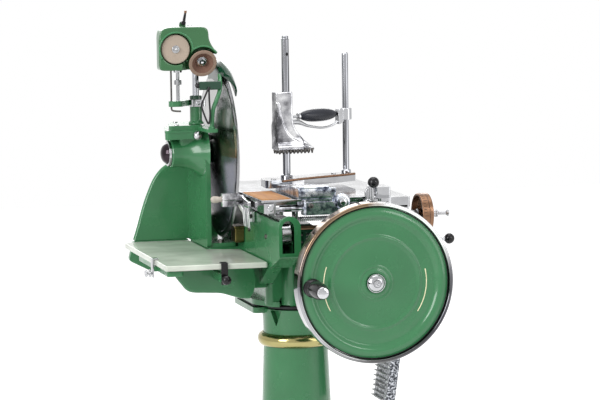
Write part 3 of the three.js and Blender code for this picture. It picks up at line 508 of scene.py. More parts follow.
def reflection_sectors(name, axis, centre, stops, rough, uneven=0.1):
    """Polished metal whose colour changes round an axis in light and dark sectors, with a little noise:
    painted reflections laid into the colour.
    """
    material, tree, shader = new_material(name)
    across = "Y" if axis == "x" else "X"
    middle = place(*centre)
    split = tree.nodes.new("ShaderNodeSeparateXYZ")
    fill(tree, split, Vector=add(tree, "TexCoord", "Object"))
    from_axis = add(tree, "CombineXYZ", "Vector", X=maths(tree, "SUBTRACT", split.outputs[across],
        middle["XYZ".index(across)]), Y=maths(tree, "SUBTRACT", split.outputs["Z"], middle.z))
    turn = add(tree, "TexGradient", "Fac", Vector=from_axis)
    turn.node.gradient_type = "RADIAL"
    blur = value_range(tree, noise(tree, 14.0, 5.0), -uneven, uneven)
    fill(tree, shader, Base_Color=ramp(tree, maths(tree, "ADD", turn, blur), stops), Metallic=1.0,
        Roughness=value_range(tree, noise(tree, 60.0), rough, rough + 0.08))
    return material


green = enamel("green_enamel", (0.036, 0.185, 0.07))
dark_green = enamel("dark_green_enamel", (0.006, 0.045, 0.022))
chrome = metal("polished_chrome", (0.5, 0.505, 0.52), 0.06, 0.08, 25.0, 0.04, dark=0.8)
# Painted reflections: the rods' chrome has long dark streaks in its colour, standing in for the dark things a
# polished rod reflects.
reflection_streak_chrome = metal("chrome_painted_reflection_streaks", (0.62, 0.63, 0.67), 0.05, 0.06, 130.0, 0, (1, 1, 0.03), 0.2)
# Painted reflection: the flywheel rim's colour runs through dark, white and brown sectors round its axis,
# standing in for what the polished chrome reflects.
rim_chrome_painted_reflection = reflection_sectors("rim_chrome_painted_reflection", "y", (56.5, 0, 837),
    [(0.0, (0.2, 0.2, 0.22)), (0.1, (0.42, 0.42, 0.43)), (0.24, (0.12, 0.12, 0.12)),
    (0.42, (0.07, 0.07, 0.08)), (0.52, (0.16, 0.16, 0.17)), (0.6, (0.72, 0.72, 0.72)),
    (0.73, (0.72, 0.72, 0.72)), (0.78, (0.2, 0.14, 0.09)), (0.92, (0.22, 0.15, 0.1)),
    (1.0, (0.14, 0.14, 0.15))], 0.06, 0.03)
# Painted reflection: the blade's colour runs through grey, dark, light, green and brown sectors round its
# axis, standing in for what the polished blade reflects.
blade_steel_painted_reflection = reflection_sectors("polished_blade_steel", "x", (0, 120, 1047),
    [(0.0, (0.16, 0.16, 0.16)), (0.1, (0.16, 0.165, 0.21)), (0.2, (0.24, 0.245, 0.3)),
    (0.3, (0.12, 0.09, 0.09)), (0.42, (0.22, 0.22, 0.24)), (0.6, (0.4, 0.4, 0.4)), (0.78, (0.55, 0.55, 0.54)),
    (0.87, (0.3, 0.31, 0.3)), (0.93, (0.05, 0.09, 0.06)), (0.98, (0.14, 0.1, 0.06))], 0.2)
bevel_steel = metal("bevel_steel", (0.3, 0.3, 0.31), 0.14, 0.08, 60.0, 0.03)
steel = metal("turned_steel", (0.42, 0.42, 0.43), 0.2, 0.14, 90.0, 0.1, (1, 1, 6))
dark_steel = metal("dark_steel", (0.09, 0.085, 0.08), 0.25, 0.14, 90.0, 0.1)
brass = metal("polished_brass", (0.36, 0.32, 0.14), 0.12, 0.1, 30.0, 0.04)
bronze = metal("bronze", (0.23, 0.13, 0.08), 0.25, 0.15, 60.0, 0.08)
hammered = mottled("hammered_grey", [(0.32, (0.03, 0.035, 0.06)), (0.44, (0.25, 0.28, 0.34)),
    (0.54, (0.55, 0.58, 0.64)), (0.64, (0.75, 0.77, 0.8))], 95.0, 0.12)
# Painted reflection: the claw and deflector chrome get dark and light patches in their colour, standing in
# for what the chrome reflects.
claw_chrome_painted_reflection = mottled("claw_chrome_painted_reflection", [(0.36, (0.1, 0.1, 0.11)), (0.47, (0.4, 0.4, 0.42)),
    (0.6, (0.75, 0.75, 0.76))], 34.0, 0.04)
spike_steel = mottled("spiked_steel", [(0.38, (0.012, 0.012, 0.016)), (0.5, (0.16, 0.17, 0.19)),
    (0.62, (0.6, 0.62, 0.66))], 260.0, 0.25)
# Painted reflection: the bearing cap's chrome dome gets a near-black, faintly purple colour that stands in
# for the dark it reflects.
cap_metal_painted_reflection = metal("cap_painted_dark_reflection", (0.035, 0.028, 0.033), 0.08, 0.06, 20.0, 0.02)
black = lacquer("black_lacquer", (0.008, 0.0075, 0.009), 0.14)
grip_black = lacquer("black_grip", (0.02, 0.022, 0.03), 0.22)
rubber = lacquer("black_rubber", (0.014, 0.014, 0.016), 0.5, 200.0, 0.3)
ivory = lacquer("ivory_knob", (0.46, 0.41, 0.36), 0.2)
# Partly painted reflection: the white glass is tinted olive green, the green and brown it reflects laid into
# its colour.
opal = lacquer("white_opal_glass", (0.62, 0.66, 0.58), 0.05, 12.0, 0.0)
grit = lacquer("grinding_grit", (0.44, 0.36, 0.29), 0.8, 900.0, 0.8)
grit_rim = lacquer("grinding_grit_rim", (0.3, 0.21, 0.16), 0.8, 900.0, 0.8)
# Painted shade: a darker grit for the sheet that lines the cup stone's hollow.
grit_painted_shade = lacquer("grinding_grit_painted_shade", (0.2, 0.11, 0.08), 0.8, 900.0, 0.8)
# Painted shade: a darker copy of the green enamel for the sharpener head's shell; the raised bead keeps the
# lighter green, which stands in for the highlight on the lip.
head_green_painted_shade = enamel("head_enamel_painted_shade", (0.032, 0.13, 0.045))
gold = lacquer("gold_stripe", (0.9, 0.84, 0.55), 0.5)
wood = board_wood("varnished_board")
olive = metal("olive_brass", (0.17, 0.14, 0.05), 0.25, 0.12, 30.0, 0.05, dark=0.6)
LOOKS = {
    "green_paint": green, "dark_green_paint": dark_green, "chrome": chrome, "steel": steel,
    "hammered_grey": hammered, "brass": brass, "black_grip": grip_black, "black_rubber": rubber,
    "white_glass": opal, "grinding_stone": grit, "varnished_board": wood, "ivory_knob": ivory,
}
for node_name, node_object in nodes.items():
    node_object.data.materials.clear()
    node_object.data.materials.append(LOOKS[slot_of[node_name]])

# Sizes that several pieces share, as in the part's source

SEAT = 0.3
HEAD_TOP = 749
NECK = 63.5
RING = HEAD_TOP - 63.5
BASE = 755.3
BEAM_LEFT, BEAM_RIGHT, BEAM_FRONT, BEAM_BACK = -95, -54, -250, 215
BEAM_MIDDLE = (BEAM_LEFT + BEAM_RIGHT) / 2
SLOT_LEFT, SLOT_RIGHT = BEAM_LEFT + 5.6, BEAM_RIGHT - 12.2
WHEEL = (56.5, 837)
DISC_RADIUS = 141.5
WHEEL_FRONT, WHEEL_BACK = -372, -338
FACE = WHEEL_FRONT + 2
CRANK = (WHEEL[0] - 123, WHEEL[1] - 2)
HUB = BLADE_Y, BLADE_Z = (120, 1047)
BLADE_RADIUS, BLADE_EDGE = 170, -120
STAND_TOP = BLADE_Z + 57
EDGE_TOP = BLADE_Z + BLADE_RADIUS
POST = (-166, 120)
SHELF_TOP = 862
PLATE_TOP, PLATE_BOTTOM = 860, 849.3
TABLE_TOP, TABLE_FRONT, TABLE_BACK = 981.6, -200, 190
BAR_Z, SCREW = 961.7, (-170, 938.7)
RAIL_TOP = 925
LEFT_ROD, RIGHT_ROD = (-13, 0), (125, 60)
ROD_PLATE_TOP = 1001


def screw_head(axis, middle, face, outward, radius, height, slot=True):
    """A domed screw head standing on a face, with or without a slot."""
    top = face + outward * height
    head = solid(axis, middle, [(radius, face - outward), (radius, face + outward * 0.5),
        (radius * 0.8, top - outward * 0.5), (radius * 0.4, top)], 24)
    if not slot:
        return head
    spans = [(middle[0] - radius - 1, middle[0] + radius + 1), (middle[1] - 0.6, middle[1] + 0.6)]
    spans.insert("xyz".index(axis), sorted((top - outward * 0.9, top + outward)))
    return cut(head, block(*spans[0], *spans[1], *spans[2]))


def slab_hex(axis, middle, start, end, radius):
    return slab(axis, [on_circle(middle, radius, 60 * i + 30) for i in range(6)], start, end)


# The pieces, a function for each group, in design millimetres and degrees


def pedestal():
    foot = [(238, 0), (240, 4), (240, 9), (235, 15), (229, 17.5)]
    flare = flow([(228, 31), (178, 50), (132, 84), (104, 130), (88, 190), (79, 300), (72, 460),
        (NECK + 3, RING - 90), (NECK, RING - 20)], 6)
    profile = [(0, 0), *foot, (228.5, 19), *flare, (NECK, RING - 14), (NECK, RING + 14),
        *off(HEAD_TOP, [(NECK + 0.6, -24), (NECK + 1.6, -10), (NECK + 2, -2), (0, -2)])]
    column = turned("z", (0, 0), profile, 128)
    head = soft("z", oblong(-86, 86, -9, 158), 12, HEAD_TOP - 11, HEAD_TOP, 8)
    hollows = []
    for angle, top in ((-51, HEAD_TOP - 3), (51, HEAD_TOP - 3), (-129, HEAD_TOP - 11), (129, HEAD_TOP - 11)):
        outline = rounded([(-13.5, top), (13.5, top), (0, top - 32)], 3, 4)
        hollows.append(moved(turn_at((0, 0, 0), angle), slab("y", outline, -100, 12 - NECK)))
    bolts = [screw_head("z", (x, y), HEAD_TOP - 11, -1, 8, 5, False) for x in (-70, 70) for y in (70, 142)]
    piece("pedestal", (green, cut(column, *hollows), head), (dark_steel, *bolts), width=1.4)

    bead = [(NECK + SEAT, RING - 13)]
    for i in range(1, 24):
        angle = math.radians(-90 + 180 * i / 24)
        bead.append((NECK + SEAT + 10.7 * math.cos(angle), RING + 13 * math.sin(angle)))
    bead.append((NECK + SEAT, RING + 13))
    piece("pedestal_ring", (brass, turned("z", (0, 0), bead, 128)), width=0)
    pad_low, pad_high = HEAD_TOP + SEAT, HEAD_TOP + SEAT + 5.7
    piece("foot_pad_front", (rubber, slab("z", arc((0, 0), NECK + 1, -160, -20, 36), pad_low, pad_high)),
        width=1.0)
    rear = cut(soft("z", oblong(-82, 82, 6, 152), 10, pad_low, pad_high),
        block(-52, 52, 42, 118, pad_low - 1, pad_high + 1, 6))
    piece("foot_pad_rear", (rubber, rear), width=1.0)


def base():
    slot_middle = (SLOT_LEFT + SLOT_RIGHT) / 2
    slot_half = (SLOT_RIGHT - SLOT_LEFT) / 2
    foot = soft("z", [(-58, -60), (60, -60), (86, -9), (86, 158), (-86, 158), (-86, -2)], 12, BASE, BASE + 10)
    column = soft("z", oblong(-71, 17, -55, 130), 14, BASE + 4, 858, 7)
    bulge = solid("z", (-18, -50), [*off(BASE, [(24, 4), (22.5, 16), (22, 30)]), (22, 856)], 56)
    beam = soft("x", [(BEAM_FRONT, 875), (BEAM_FRONT, 941), (-100, 943), (-26, 947), (BEAM_BACK, 947),
        (BEAM_BACK, 848), (-176, 847.5)], 6, BEAM_LEFT, BEAM_RIGHT)
    radius = (BEAM_RIGHT - BEAM_LEFT) / 2 + 0.7
    front = slab("y", [(BEAM_LEFT - 0.7, 880), (BEAM_RIGHT + 0.7, 880),
        *arc((BEAM_MIDDLE, 932), radius, 0, 180, 24)], BEAM_FRONT - 0.6, BEAM_FRONT + 12)
    slot = slab("y", [(SLOT_LEFT, 884), (SLOT_RIGHT, 884), *arc((slot_middle, 933.4), slot_half, 0, 180, 20)],
        BEAM_FRONT - 2, BEAM_FRONT + 14)
    channel = block(SLOT_LEFT, SLOT_RIGHT, BEAM_FRONT + 8, BEAM_BACK + 5, 884, 960)
    arch = slab("y", [(-47, BASE - 1), (-25, BASE - 1), *arc((-36, 764), 11, 0, 180, 16)], -100, -43)
    sleeve = turned("y", WHEEL, [(12.4, -305.5), (31, -305.8), (34, -304), (34, -294), (31.5, -291),
        (30, -288), (29.5, -240), (31, -180), (34, -140), (12.4, -140)], 64)
    web = soft("x", [(-296, 812), (-70, BASE + 4), (-20, BASE + 4), (-20, 780), (-115, 802), (-140, 835),
        (-296, 835)], 5, WHEEL[0] - 11, WHEEL[0] + 11)
    web_lip = bent([(WHEEL[0], -292, 812), (WHEEL[0], -240, 800), (WHEEL[0], -150, 779),
        (WHEEL[0], -72, 762)], 4.5, 16, 5)
    rear_beam = block(10, 178, 50, 104, 790, 838, 8)
    rear_step = block(10, 92, 50, 104, BASE + 4, 800, 5)
    upright = soft("x", [(-70, 800), (104, 800), (150, RAIL_TOP - 20.3), (-200, RAIL_TOP - 20.3)], 8, 152,
        176)
    upright_rib = soft("x", [(-50, 808), (90, 808), (124, 896), (-160, 896)], 8, 148.5, 153)
    lug = block(150, 195, -70, -50, 800, 812, 4)
    shelf = soft("z", oblong(-158, 17, 69, 235), 12, 780, SHELF_TOP)
    gusset = soft("x", [(-54, 858), (-160, 858), (-54, 800)], 6, BEAM_LEFT + 8, BEAM_RIGHT - 6)
    screws = [screw_head("x", (y, 906), BEAM_LEFT, -1, 5, 3) for y in (-150, -20, 150)]
    screws += [screw_head("z", (x, y), BASE + 10, 1, 6.5, 5, False)
        for x, y in ((72, 30), (72, 140), (-79, 140))]
    cover = cut(soft("y", [(-52, 858), (22, 858), (22, 905), (8, 921), (-52, 921)], 6, -104, -92),
        *[block(x, x + 16, -105, -100, 866, 906, 3) for x in (-46, -25, -4)])
    cover_top = block(-52, 8, -94, -20, 912, 921, 3)
    cover_rods = [rod("x", (-98, z), 3.2, -53, 24, 24) for z in (872, 886, 900)]
    cover_rail = rod("x", (-104, 914), 4, -53, 26, 24)
    cup = turned("z", (WHEEL[0], -236), [(0, 862), (4, 862), (4, 869), (6.5, 870), (6.5, 876), (4.5, 879),
        (0, 880)], 32)
    piece("base_casting", (green, cut(beam, channel, slot), cut(front, slot, channel), cut(foot, arch),
        cut(column, arch), bulge, sleeve, web, web_lip, rear_beam, rear_step, upright, upright_rib, lug,
        shelf, gusset), (dark_green, cover, cover_top), (dark_steel, *screws, *cover_rods),
        (bronze, cover_rail), (brass, cup), width=2.2)

    left, right = SLOT_LEFT + 1.4, SLOT_RIGHT - 1.4
    profile = [(0, BEAM_LEFT + 2.3), (4, BEAM_LEFT + 2.3), (4, left), (18, left), (20.5, left + 1.5),
        (20.5, right - 1.5), (18, right), (4, right), (4, BEAM_RIGHT - 1), (0, BEAM_RIGHT - 1)]
    for node, y in (("roller_front", -222), ("roller_middle", 20), ("roller_rear", 190)):
        piece(node, (steel, turned("x", (y, 917.5), profile, 64)), width=0.4)
    rail = soft("y", oblong(152, 176, RAIL_TOP - 20, RAIL_TOP), 1.5, -216, 250)
    rail_screws = [screw_head("z", (164, y), RAIL_TOP - 2.2, 1, 5, 2.1) for y in (-195, -60, 90, 225)]
    piece("right_rail", (steel, rail), (dark_steel, *rail_screws), width=0.8)
    box_shape = soft("x", oblong(20, 58, 875, 907), 6, BEAM_LEFT - 19, BEAM_LEFT - SEAT, 6)
    rim = soft("x", oblong(17.5, 60.5, 903, 908.5), 2.2, BEAM_LEFT - 21, BEAM_LEFT - SEAT)
    piece("drip_box", (olive, box_shape, rim), width=1.6)


def flywheel():
    profile = [*off(FACE, [(12.3, 0.4), (22, 0.4), (24.5, 0.8), (27, 3.0), (29, 2.6), (31, 1.6), (33, 2.4),
        (35, 4.0), (60, 4.6), (78, 4.8), (81, 4.0), (83.4, 2.2), (85, 1.7), (86.8, 2.3), (89.5, 4.2),
        (92, 4.8), (103, 4.8), (109, 5.6), (113.5, 6.6), (116.5, 6.2), (120, 3.0), (122.6, 1.0), (125.6, 0.1),
        (128.5, 0), (132.5, 0.8), (136.5, 2.6), (139, 4.4), (140.4, 4.8), (DISC_RADIUS, 6)]),
        *off(WHEEL_BACK, [(DISC_RADIUS, -5), (DISC_RADIUS - 2, -3), (DISC_RADIUS - 9, -3),
        (DISC_RADIUS - 12, -6)]), *off(FACE, [(DISC_RADIUS - 15, 18), (120, 16.5), (66, 17), (48, 20)]),
        *off(WHEEL_BACK, [(36, -6), (32, 3), (30, 4), (12.3, 4)])]
    disc = turned("y", WHEEL, profile, 192)
    stripes = [turned("y", WHEEL, oblong(98, 99.7, FACE + 4.4, FACE + 5.4), 40, span)
        for span in ((-35, 13), (160, 209))]
    # Painted shade: a black ring at the bottom of the groove between the disc and the rim.
    line = turned("y", WHEEL, oblong(139.6, 141.4, FACE + 4.2, FACE + 6.5), 192)
    piece("flywheel_disc", (green, disc), (black, line), (gold, *stripes), width=0)
    rim = turned("y", WHEEL, [(141.9, FACE + 2.6), (142.4, FACE + 0.4), (143.6, FACE - 1.2),
        *off(WHEEL_FRONT, [(145, 0.1), (146.8, 0), (148.3, 0.8), (149.3, 2.4), (149.5, 4)]),
        *off(WHEEL_BACK, [(149.5, -4), (149.2, -2), (147.6, -0.3), (146, 0), (142.5, 0), (141.9, -1)])], 192)
    piece("flywheel_rim", (rim_chrome_painted_reflection, rim), width=0)

    cap = FACE - 1.8
    dome = solid("y", WHEEL, off(cap, [(2.6, -6.5), (3.2, -9), (6.4, -8.8), (7, -7.2), (7.8, -8.2),
        (11, -6.8), (13.6, -5), (15.4, -3), (16.4, -1.4), (17.4, -1.2), (17.4, 0)]), 64)
    shaft = rod("y", WHEEL, 12, cap, -88, 48)
    collar = ring("y", WHEEL, 12, 17.5, -333.5, -307, 48)
    cone = [(0, -111), (25, -111), (25.3, -102), (17.5, -87), (0, -87)]
    pinion = turned("y", WHEEL, cone, 48)
    gap = slab("y", [(21, -3.2), (27, -4.2), (27, 4.2), (21, 3.2)], -120, -80)
    gaps = [moved(turn_at((WHEEL[0], 0, WHEEL[1]), 36 * i + 18, "Y"), gap) for i in range(10)]
    pinion = cut(pinion, join(*gaps))
    piece("flywheel_shaft", (chrome, dome), (steel, shaft, collar, pinion), width=0.5)

    crown_face = WHEEL[0] - 24.5 - 0.6
    wheel = turned("x", (-28, WHEEL[1]), [(10, -62), (10, 17.8), (18, 17.8),
        *off(crown_face, [(18, -13), (48, -13), (60, -12), (60, 0), (49, 0), (46, -5), (16, -7), (14, 0),
        (0, 0)]), (0, -62)], 96)
    gap = slab("x", [(54, -2.6), (62, -3.6), (62, 3.6), (54, 2.6)], crown_face - 8, crown_face + 2)
    gaps = [moved(turn_at((0, -28, WHEEL[1]), 15 * i + 7.5, "X"), gap) for i in range(24)]
    piece("crown_gear", (steel, cut(wheel, join(*gaps))), width=0.5)

    front = WHEEL_FRONT - 76
    pin = solid("y", CRANK, [*off(front, [(3, -5), (7, -4.6), (10, -3), (11, -1), (11, 0), (4, 0)]),
        *off(FACE, [(4, -3), (9, -3), (9, -SEAT)])], 48)
    notch = block(CRANK[0] - 12, CRANK[0] + 12, front - 7, front - 4.1, CRANK[1] - 0.8, CRANK[1] + 0.8)
    piece("crank_pin", (chrome, cut(pin, notch)), width=0.4)
    bell = flow(off(front, [(12, 0.6), (13.4, 6), (15.6, 20), (16.2, 34), (15.6, 46), (13.6, 53), (13.6, 58),
        (16, 62), (17.5, 65)]), 6)
    grip = turned("y", CRANK, [(4.6, front + 0.3), (11.2, front + 0.3), *bell, (17.5, FACE - 6),
        (16.8, FACE - 4), (15.5, FACE - 3.3), (4.6, FACE - 3.3)], 64)
    piece("crank_grip", (black, grip), width=0.4)


def blade():
    dome = BLADE_EDGE - 21
    profile = [(12.3, dome), *flow([(13, dome + 0.1), (60, dome + 2.6), (110, dome + 8),
        (157, BLADE_EDGE - 5.4)], 8)]
    profile += [(158, BLADE_EDGE - 5.6), (159.2, BLADE_EDGE - 5.0)]
    right = flow(off(BLADE_EDGE, [(BLADE_RADIUS - 18, 2.5), (119, -3), (60, -10), (12.3, -13)]), 6)
    face = turned("x", HUB, [*profile, (159.2, BLADE_EDGE - 1.6), (152, BLADE_EDGE + 1.8), *right], 224)
    edge = turned("x", HUB, off(BLADE_EDGE, [(158.8, -4.8), (BLADE_RADIUS, -0.15), (BLADE_RADIUS, 0.15),
        (152.5, 2.2), (152, 1.2)]), 224)
    piece("blade", (blade_steel_painted_reflection, face), (bevel_steel, edge), width=0)
    shaft = solid("x", HUB, [(12, -219), (12, -150), (26, -150), (26, -149), (24.6, dome - 5), (24, dome - 3),
        (18, dome - 0.4), (12, dome - 0.4), (12, BLADE_EDGE - 4)], 56)
    piece("blade_shaft", (dark_green, shaft), width=0.5)
    nut_profile = off(BLADE_EDGE, [(12.4, -12.7), (24, -11.2), (23.6, 0), (22, 3), (18, 5.8), (13, 7.2),
        (4, 8), (0.8, 8), (0.8, -3.7), (12.4, -3.7)])
    holes = [rod("x", (BLADE_Y + 15 * math.cos(a), BLADE_Z + 15 * math.sin(a)), 2.4, BLADE_EDGE + 1,
        BLADE_EDGE + 12, 16) for a in (0.6, 0.6 + math.pi)]
    piece("blade_nut", (steel, cut(turned("x", HUB, nut_profile, 64), join(*holes))), width=0.4)


def stand():
    bottom = SHELF_TOP + SEAT
    left, right = -160, -151
    flange = soft("z", oblong(-157, -98, 70, 234), 10, bottom, bottom + 7.7)
    web = soft("x", [(66, bottom), (66, 1020), (84, 1078), (240, 1078), (250, 1060), (250, bottom)], 8, left,
        right)
    edge = [(-271, 0), (-262, 0.15), (-251, 0.35), (-240, 0.51), (-228, 0.65), (-214, 0.75), (-199, 0.81)]
    curve = flow([(x, bottom + share * (BLADE_Z - bottom)) for x, share in edge], 5)
    buttress = slab("y", [(right, bottom), *curve, (-199, BLADE_Z + 32), (right, BLADE_Z + 32)], 235, 250)
    curve_rib = bent([(x + 2.5, 242, z) for x, z in curve[::5]], 5.5, 20, 5)
    bearing = solid("x", HUB, [(24, -221), (26.4, -220.4), (28, -218), (28, -202), (29, -196), (31, -188),
        (36, -176), (44, -166), (56, right)], 72)
    neck = block(-205, right, 96, 200, BLADE_Z + 15, BLADE_Z + 33, 10)
    wall = soft("x", oblong(130, 250, BLADE_Z - 27, BLADE_Z + 32), 8, -172, right)
    top = soft("z", [(-238, 80), (-160, 80), (-158, 200), (-213, 200)], 11, STAND_TOP - 27, STAND_TOP - 9, 7)
    lip = soft("z", [(-239, 79), (-159, 79), (-157, 201), (-213.6, 201)], 11, STAND_TOP - 13.5,
        STAND_TOP - 9.4, 7)
    lid = soft("z", [(-229, 86), (-160, 86), (-158, 190), (-207, 190)], 9, STAND_TOP - 10, STAND_TOP, 7)
    lug = block(-171.5, -148, 2, 96, STAND_TOP - 9, STAND_TOP - 2, 6)
    rear_wall = block(-152, -97, 238, 249.4, bottom + 0.4, 905, 4)
    screws = [screw_head("z", (x, y), STAND_TOP, 1, 4.6, 2.6) for x, y in ((-210, 100), (-196, 176))]
    flange_bolts = [slab_hex("z", (x, y), bottom + 7, bottom + 13, 6.5) for x, y in ((-128, 84), (-128, 220))]
    piece("blade_stand", (green, flange, web, buttress, curve_rib, bearing, neck, wall, top, lip, lid, lug,
        rear_wall), (chrome, *screws), (dark_steel, *flange_bolts), width=2.0)

    cap = turned("x", HUB, [(0, -239), (6, -238.6), (11, -237.2), (15.5, -234.6), (18.6, -231),
        (20.4, -227.6), (21.4, -225.6), (21.4, -221.3), (0, -221.3)], 56)
    band = turned("x", HUB, [(20, -226.6), (25, -226.2), (25.4, -225), (25.4, -221.4), (20, -221.4)], 56)
    piece("bearing_cap", (cap_metal_painted_reflection, cap), (chrome, band), width=0.5)
    oil = STAND_TOP - 19
    piece("oil_cap", (chrome, ball(9, -175, 68, oil, 16, 32), rod("y", (-175, oil), 4, 66, 79.7, 24),
        ring("y", (-175, oil), 3, 7, 76, 79.7, 32)), width=0.4)


def hood():
    inside = BLADE_EDGE - 11
    outline = [*off((BLADE_RADIUS, inside), [(-24, 0), (-24, -3), (-6, -3.2), (4, -2.6), (9, 0.6)]),
        *off((BLADE_RADIUS, BLADE_EDGE), [(12.6, -5.5), (14.6, -1), (14, 3), (11, 7), (6, 10), (-2, 12),
        (-16, 12.6), (-16, 10), (-1, 9), (2.4, 6)]), (BLADE_RADIUS + 2.4, inside + 1)]
    cover = turned("x", HUB, outline, 44, (80, 131))
    along = math.radians(120)
    wedge = slab("z", [(-142, -42), (-104, 44), (-90, 44), (-90, 120), (-142, 120)], 0, 260)
    wedge = moved(Matrix(((1, 0, 0, 0), (0, -math.sin(along), math.cos(along), BLADE_Y),
        (0, math.cos(along), math.sin(along), BLADE_Z), (0, 0, 0, 1))), wedge)
    cover = cut(cover, wedge)
    stay = bent([*off(STAND_TOP, [(-160, 10, -3), (-158.5, 10, 22), (-156, 10, 38), (-150, 12, 52),
        (-142.6, 14, 70)]), (-138.6, 24, EDGE_TOP - 24), (-135, 44, EDGE_TOP - 14)], 4.2, 22, 8)
    foot = solid("z", (-160, 10), off(STAND_TOP, [(6.5, -2.4), (6.5, 0.6), (5, 2)]), 32)
    bracket = soft("x", [(6, 1178), (19, 1178), (19, 1193), (6, 1195)], 3, -184, -141, 5)
    knob = ball(5.6, -186, 12, 1187, 12, 24)
    bail = bent([(-166, 3, 1184), (-175, 3, 1164), (-181, 3, 1149), (-176, 3, 1130), (-168, 3, 1113),
        (-164.5, 3, 1129), (-165.5, 3, 1157), (-166, 3, 1184)], 1.8, 12, 7)
    piece("blade_hood", (dark_green, cover, bracket), (green, stay, foot), (black, knob, bail), width=0.9)


def receiving_plate():
    outline = [(-295, -168), (-98.3, -175), (-98.3, 44), (-150, 62), (-160.6, 62), (-160.6, 230), (-271, 234),
        (-295, 222)]
    piece("receiving_plate", (opal, soft("z", outline, 6, PLATE_BOTTOM, PLATE_TOP, 7)), width=2.4)
    top = PLATE_BOTTOM - 0.4
    shelf = soft("z", [(-262, -98), (-106, -98), (-98, -88), (-98, 60), (-158.6, 66), (-158.6, 250),
        (-276, 250), (-262, 180)], 10, top - 11, top, 6)
    root = block(-112, -71.3, -60, 62, 795, top - 9, 5)
    apron = soft("y", [(-262, top - 0.5), (-262, 838), (-233, 801), (-172, 796), (-130, 782), (-115, 781),
        (-106, 796), (-103, 820), (-110, top - 0.5)], 12, -98, -84, 7)
    lip = bent([(-262, -93, 838), (-248, -93, 819), (-232, -93, 803), (-200, -93, 799.5), (-172, -93, 797.5),
        (-150, -93, 791), (-130, -93, 785), (-114, -93, 784.5)], 4.2, 18, 5)
    rib = block(-200, -104, -90, -55, 800, top - 9, 6)
    rear = soft("y", [(-284, 822), (-274, 861.9), (-158.6, 861.9), (-158.6, 800), (-240, 799)], 7, 236, 250)
    spine = soft("x", oblong(-90, 240, 806, top - 5), 7, -190, -176)
    rail = block(-290, -258, -158, 110, top - 11, top - 0.5, 6)
    clamp_lug = block(-296, -286, -68, -52, top - 11, top - 1, 2)
    strap_lug = block(-189, -178, -175, -90, 824, top - 9, 3)
    piece("tray_arm", (green, shelf, root, apron, lip, rib, rear, spine, rail, clamp_lug, strap_lug),
        width=2.0)

    strip = -296 - SEAT
    clip = soft("y", [(strip - 3, 826), (strip, 826), *off(PLATE_TOP,
        [(strip, SEAT), (-287, SEAT), (-287, 3), (strip - 3, 3)])], 1.4, -68, -52, 4)
    piece("plate_clamp", (chrome, clip), width=0.6)
    wing = soft("x", [(-67, 828), (-63, 831), (-57, 831), (-53, 828), (-51, 834), (-53, 840), (-57, 837),
        (-63, 837), (-67, 840), (-69, 834)], 2.4, strip - 15.6, strip - 12.4)
    screw = solid("x", (-60, 834), off(strip, [(5, -17), (6.6, -16), (7, -14.5), (6.6, -13), (3.5, -12),
        (3.5, -9), (7.4, -8.6), (8, -7.4), (7.4, -6), (3, -5.5), (3, -3.3)]), 40)
    piece("clamp_screw", (chrome, screw, wing), width=0.4)
    strap = soft("x", [(-178, 821), *off(PLATE_TOP, [(-178, 3), (-160, 3), (-160, SEAT),
        (-175 - SEAT, SEAT)]), (-175 - SEAT, 821)], 1.6, -190, -177, 4)
    piece("strap_clamp", (black, strap), width=0.6)
    knob = turned("y", (-183, 831), [(0, -197), (3.6, -196.8), (6.6, -195.4), (8.6, -192.6), (9, -189.4),
        (8.4, -186.6), (6.8, -184.8), (5, -184), (5, -183), (4, -182), (4, -178.3), (0, -178.3)], 44)
    piece("strap_knob", (black, knob), width=0.3)


def deflector():
    y, z = -62, 971
    bars = [bent([(-134, at, 964), (-124, at, 960), (-118, at, 950), (-112, at, 941), (-104, at, 936)], 4, 20,
        8) for at in (y - 5.5, y + 5.5)]
    bracket = join(block(-159.4, -131, y - 9.6, y + 9.6, 957, 982.6, 3),
        block(-106, -95.3, y - 9, y + 9, 925.4, 946, 3), *bars)
    boss = turned("x", (y, z), [(4.4, -160.1), (9, -160.1), (10, -159.4), (10, -126), (9, -125), (4.4, -125)],
        48)
    screw = screw_head("y", (-106, 937), y - 10, -1, 4.6, 2.6)
    piece("deflector_bracket", (claw_chrome_painted_reflection, bracket, boss), (dark_steel, screw), width=1.2)
    stem = solid("x", (y, z), [(4, -166), (4, -124.6), (7, -124.6), (7, -117), (5.5, -116)], 40)
    arm = soft("x", [(y - 60, 958), (y - 60, 970), (y, 976), (y + 4, 968), (y - 8, 958)], 4, -122.6, -117, 6)
    prongs = []
    for i in range(5):
        at = y - 57 + i * 11
        prongs.append(bent([(-119.8, at, 962), (-120.4, at, 948), (-119.6, at, 934), (-118.6, at, 919)],
            [1.6, 1.5, 1.3, 0.8], 12, 5))
    piece("deflector_comb", (claw_chrome_painted_reflection, stem, arm, *prongs), width=0.5)
    knob = turned("x", (y, z), [(4.3, -160.4), (5.6, -160.4), (5, -164), (6.2, -168), (7, -172.6),
        (6.6, -177), (4.8, -180), (2.4, -181.3), (0, -181.5), (0, -166.4), (4.3, -166.4)], 48)
    piece("deflector_knob", (ivory, knob), width=0)


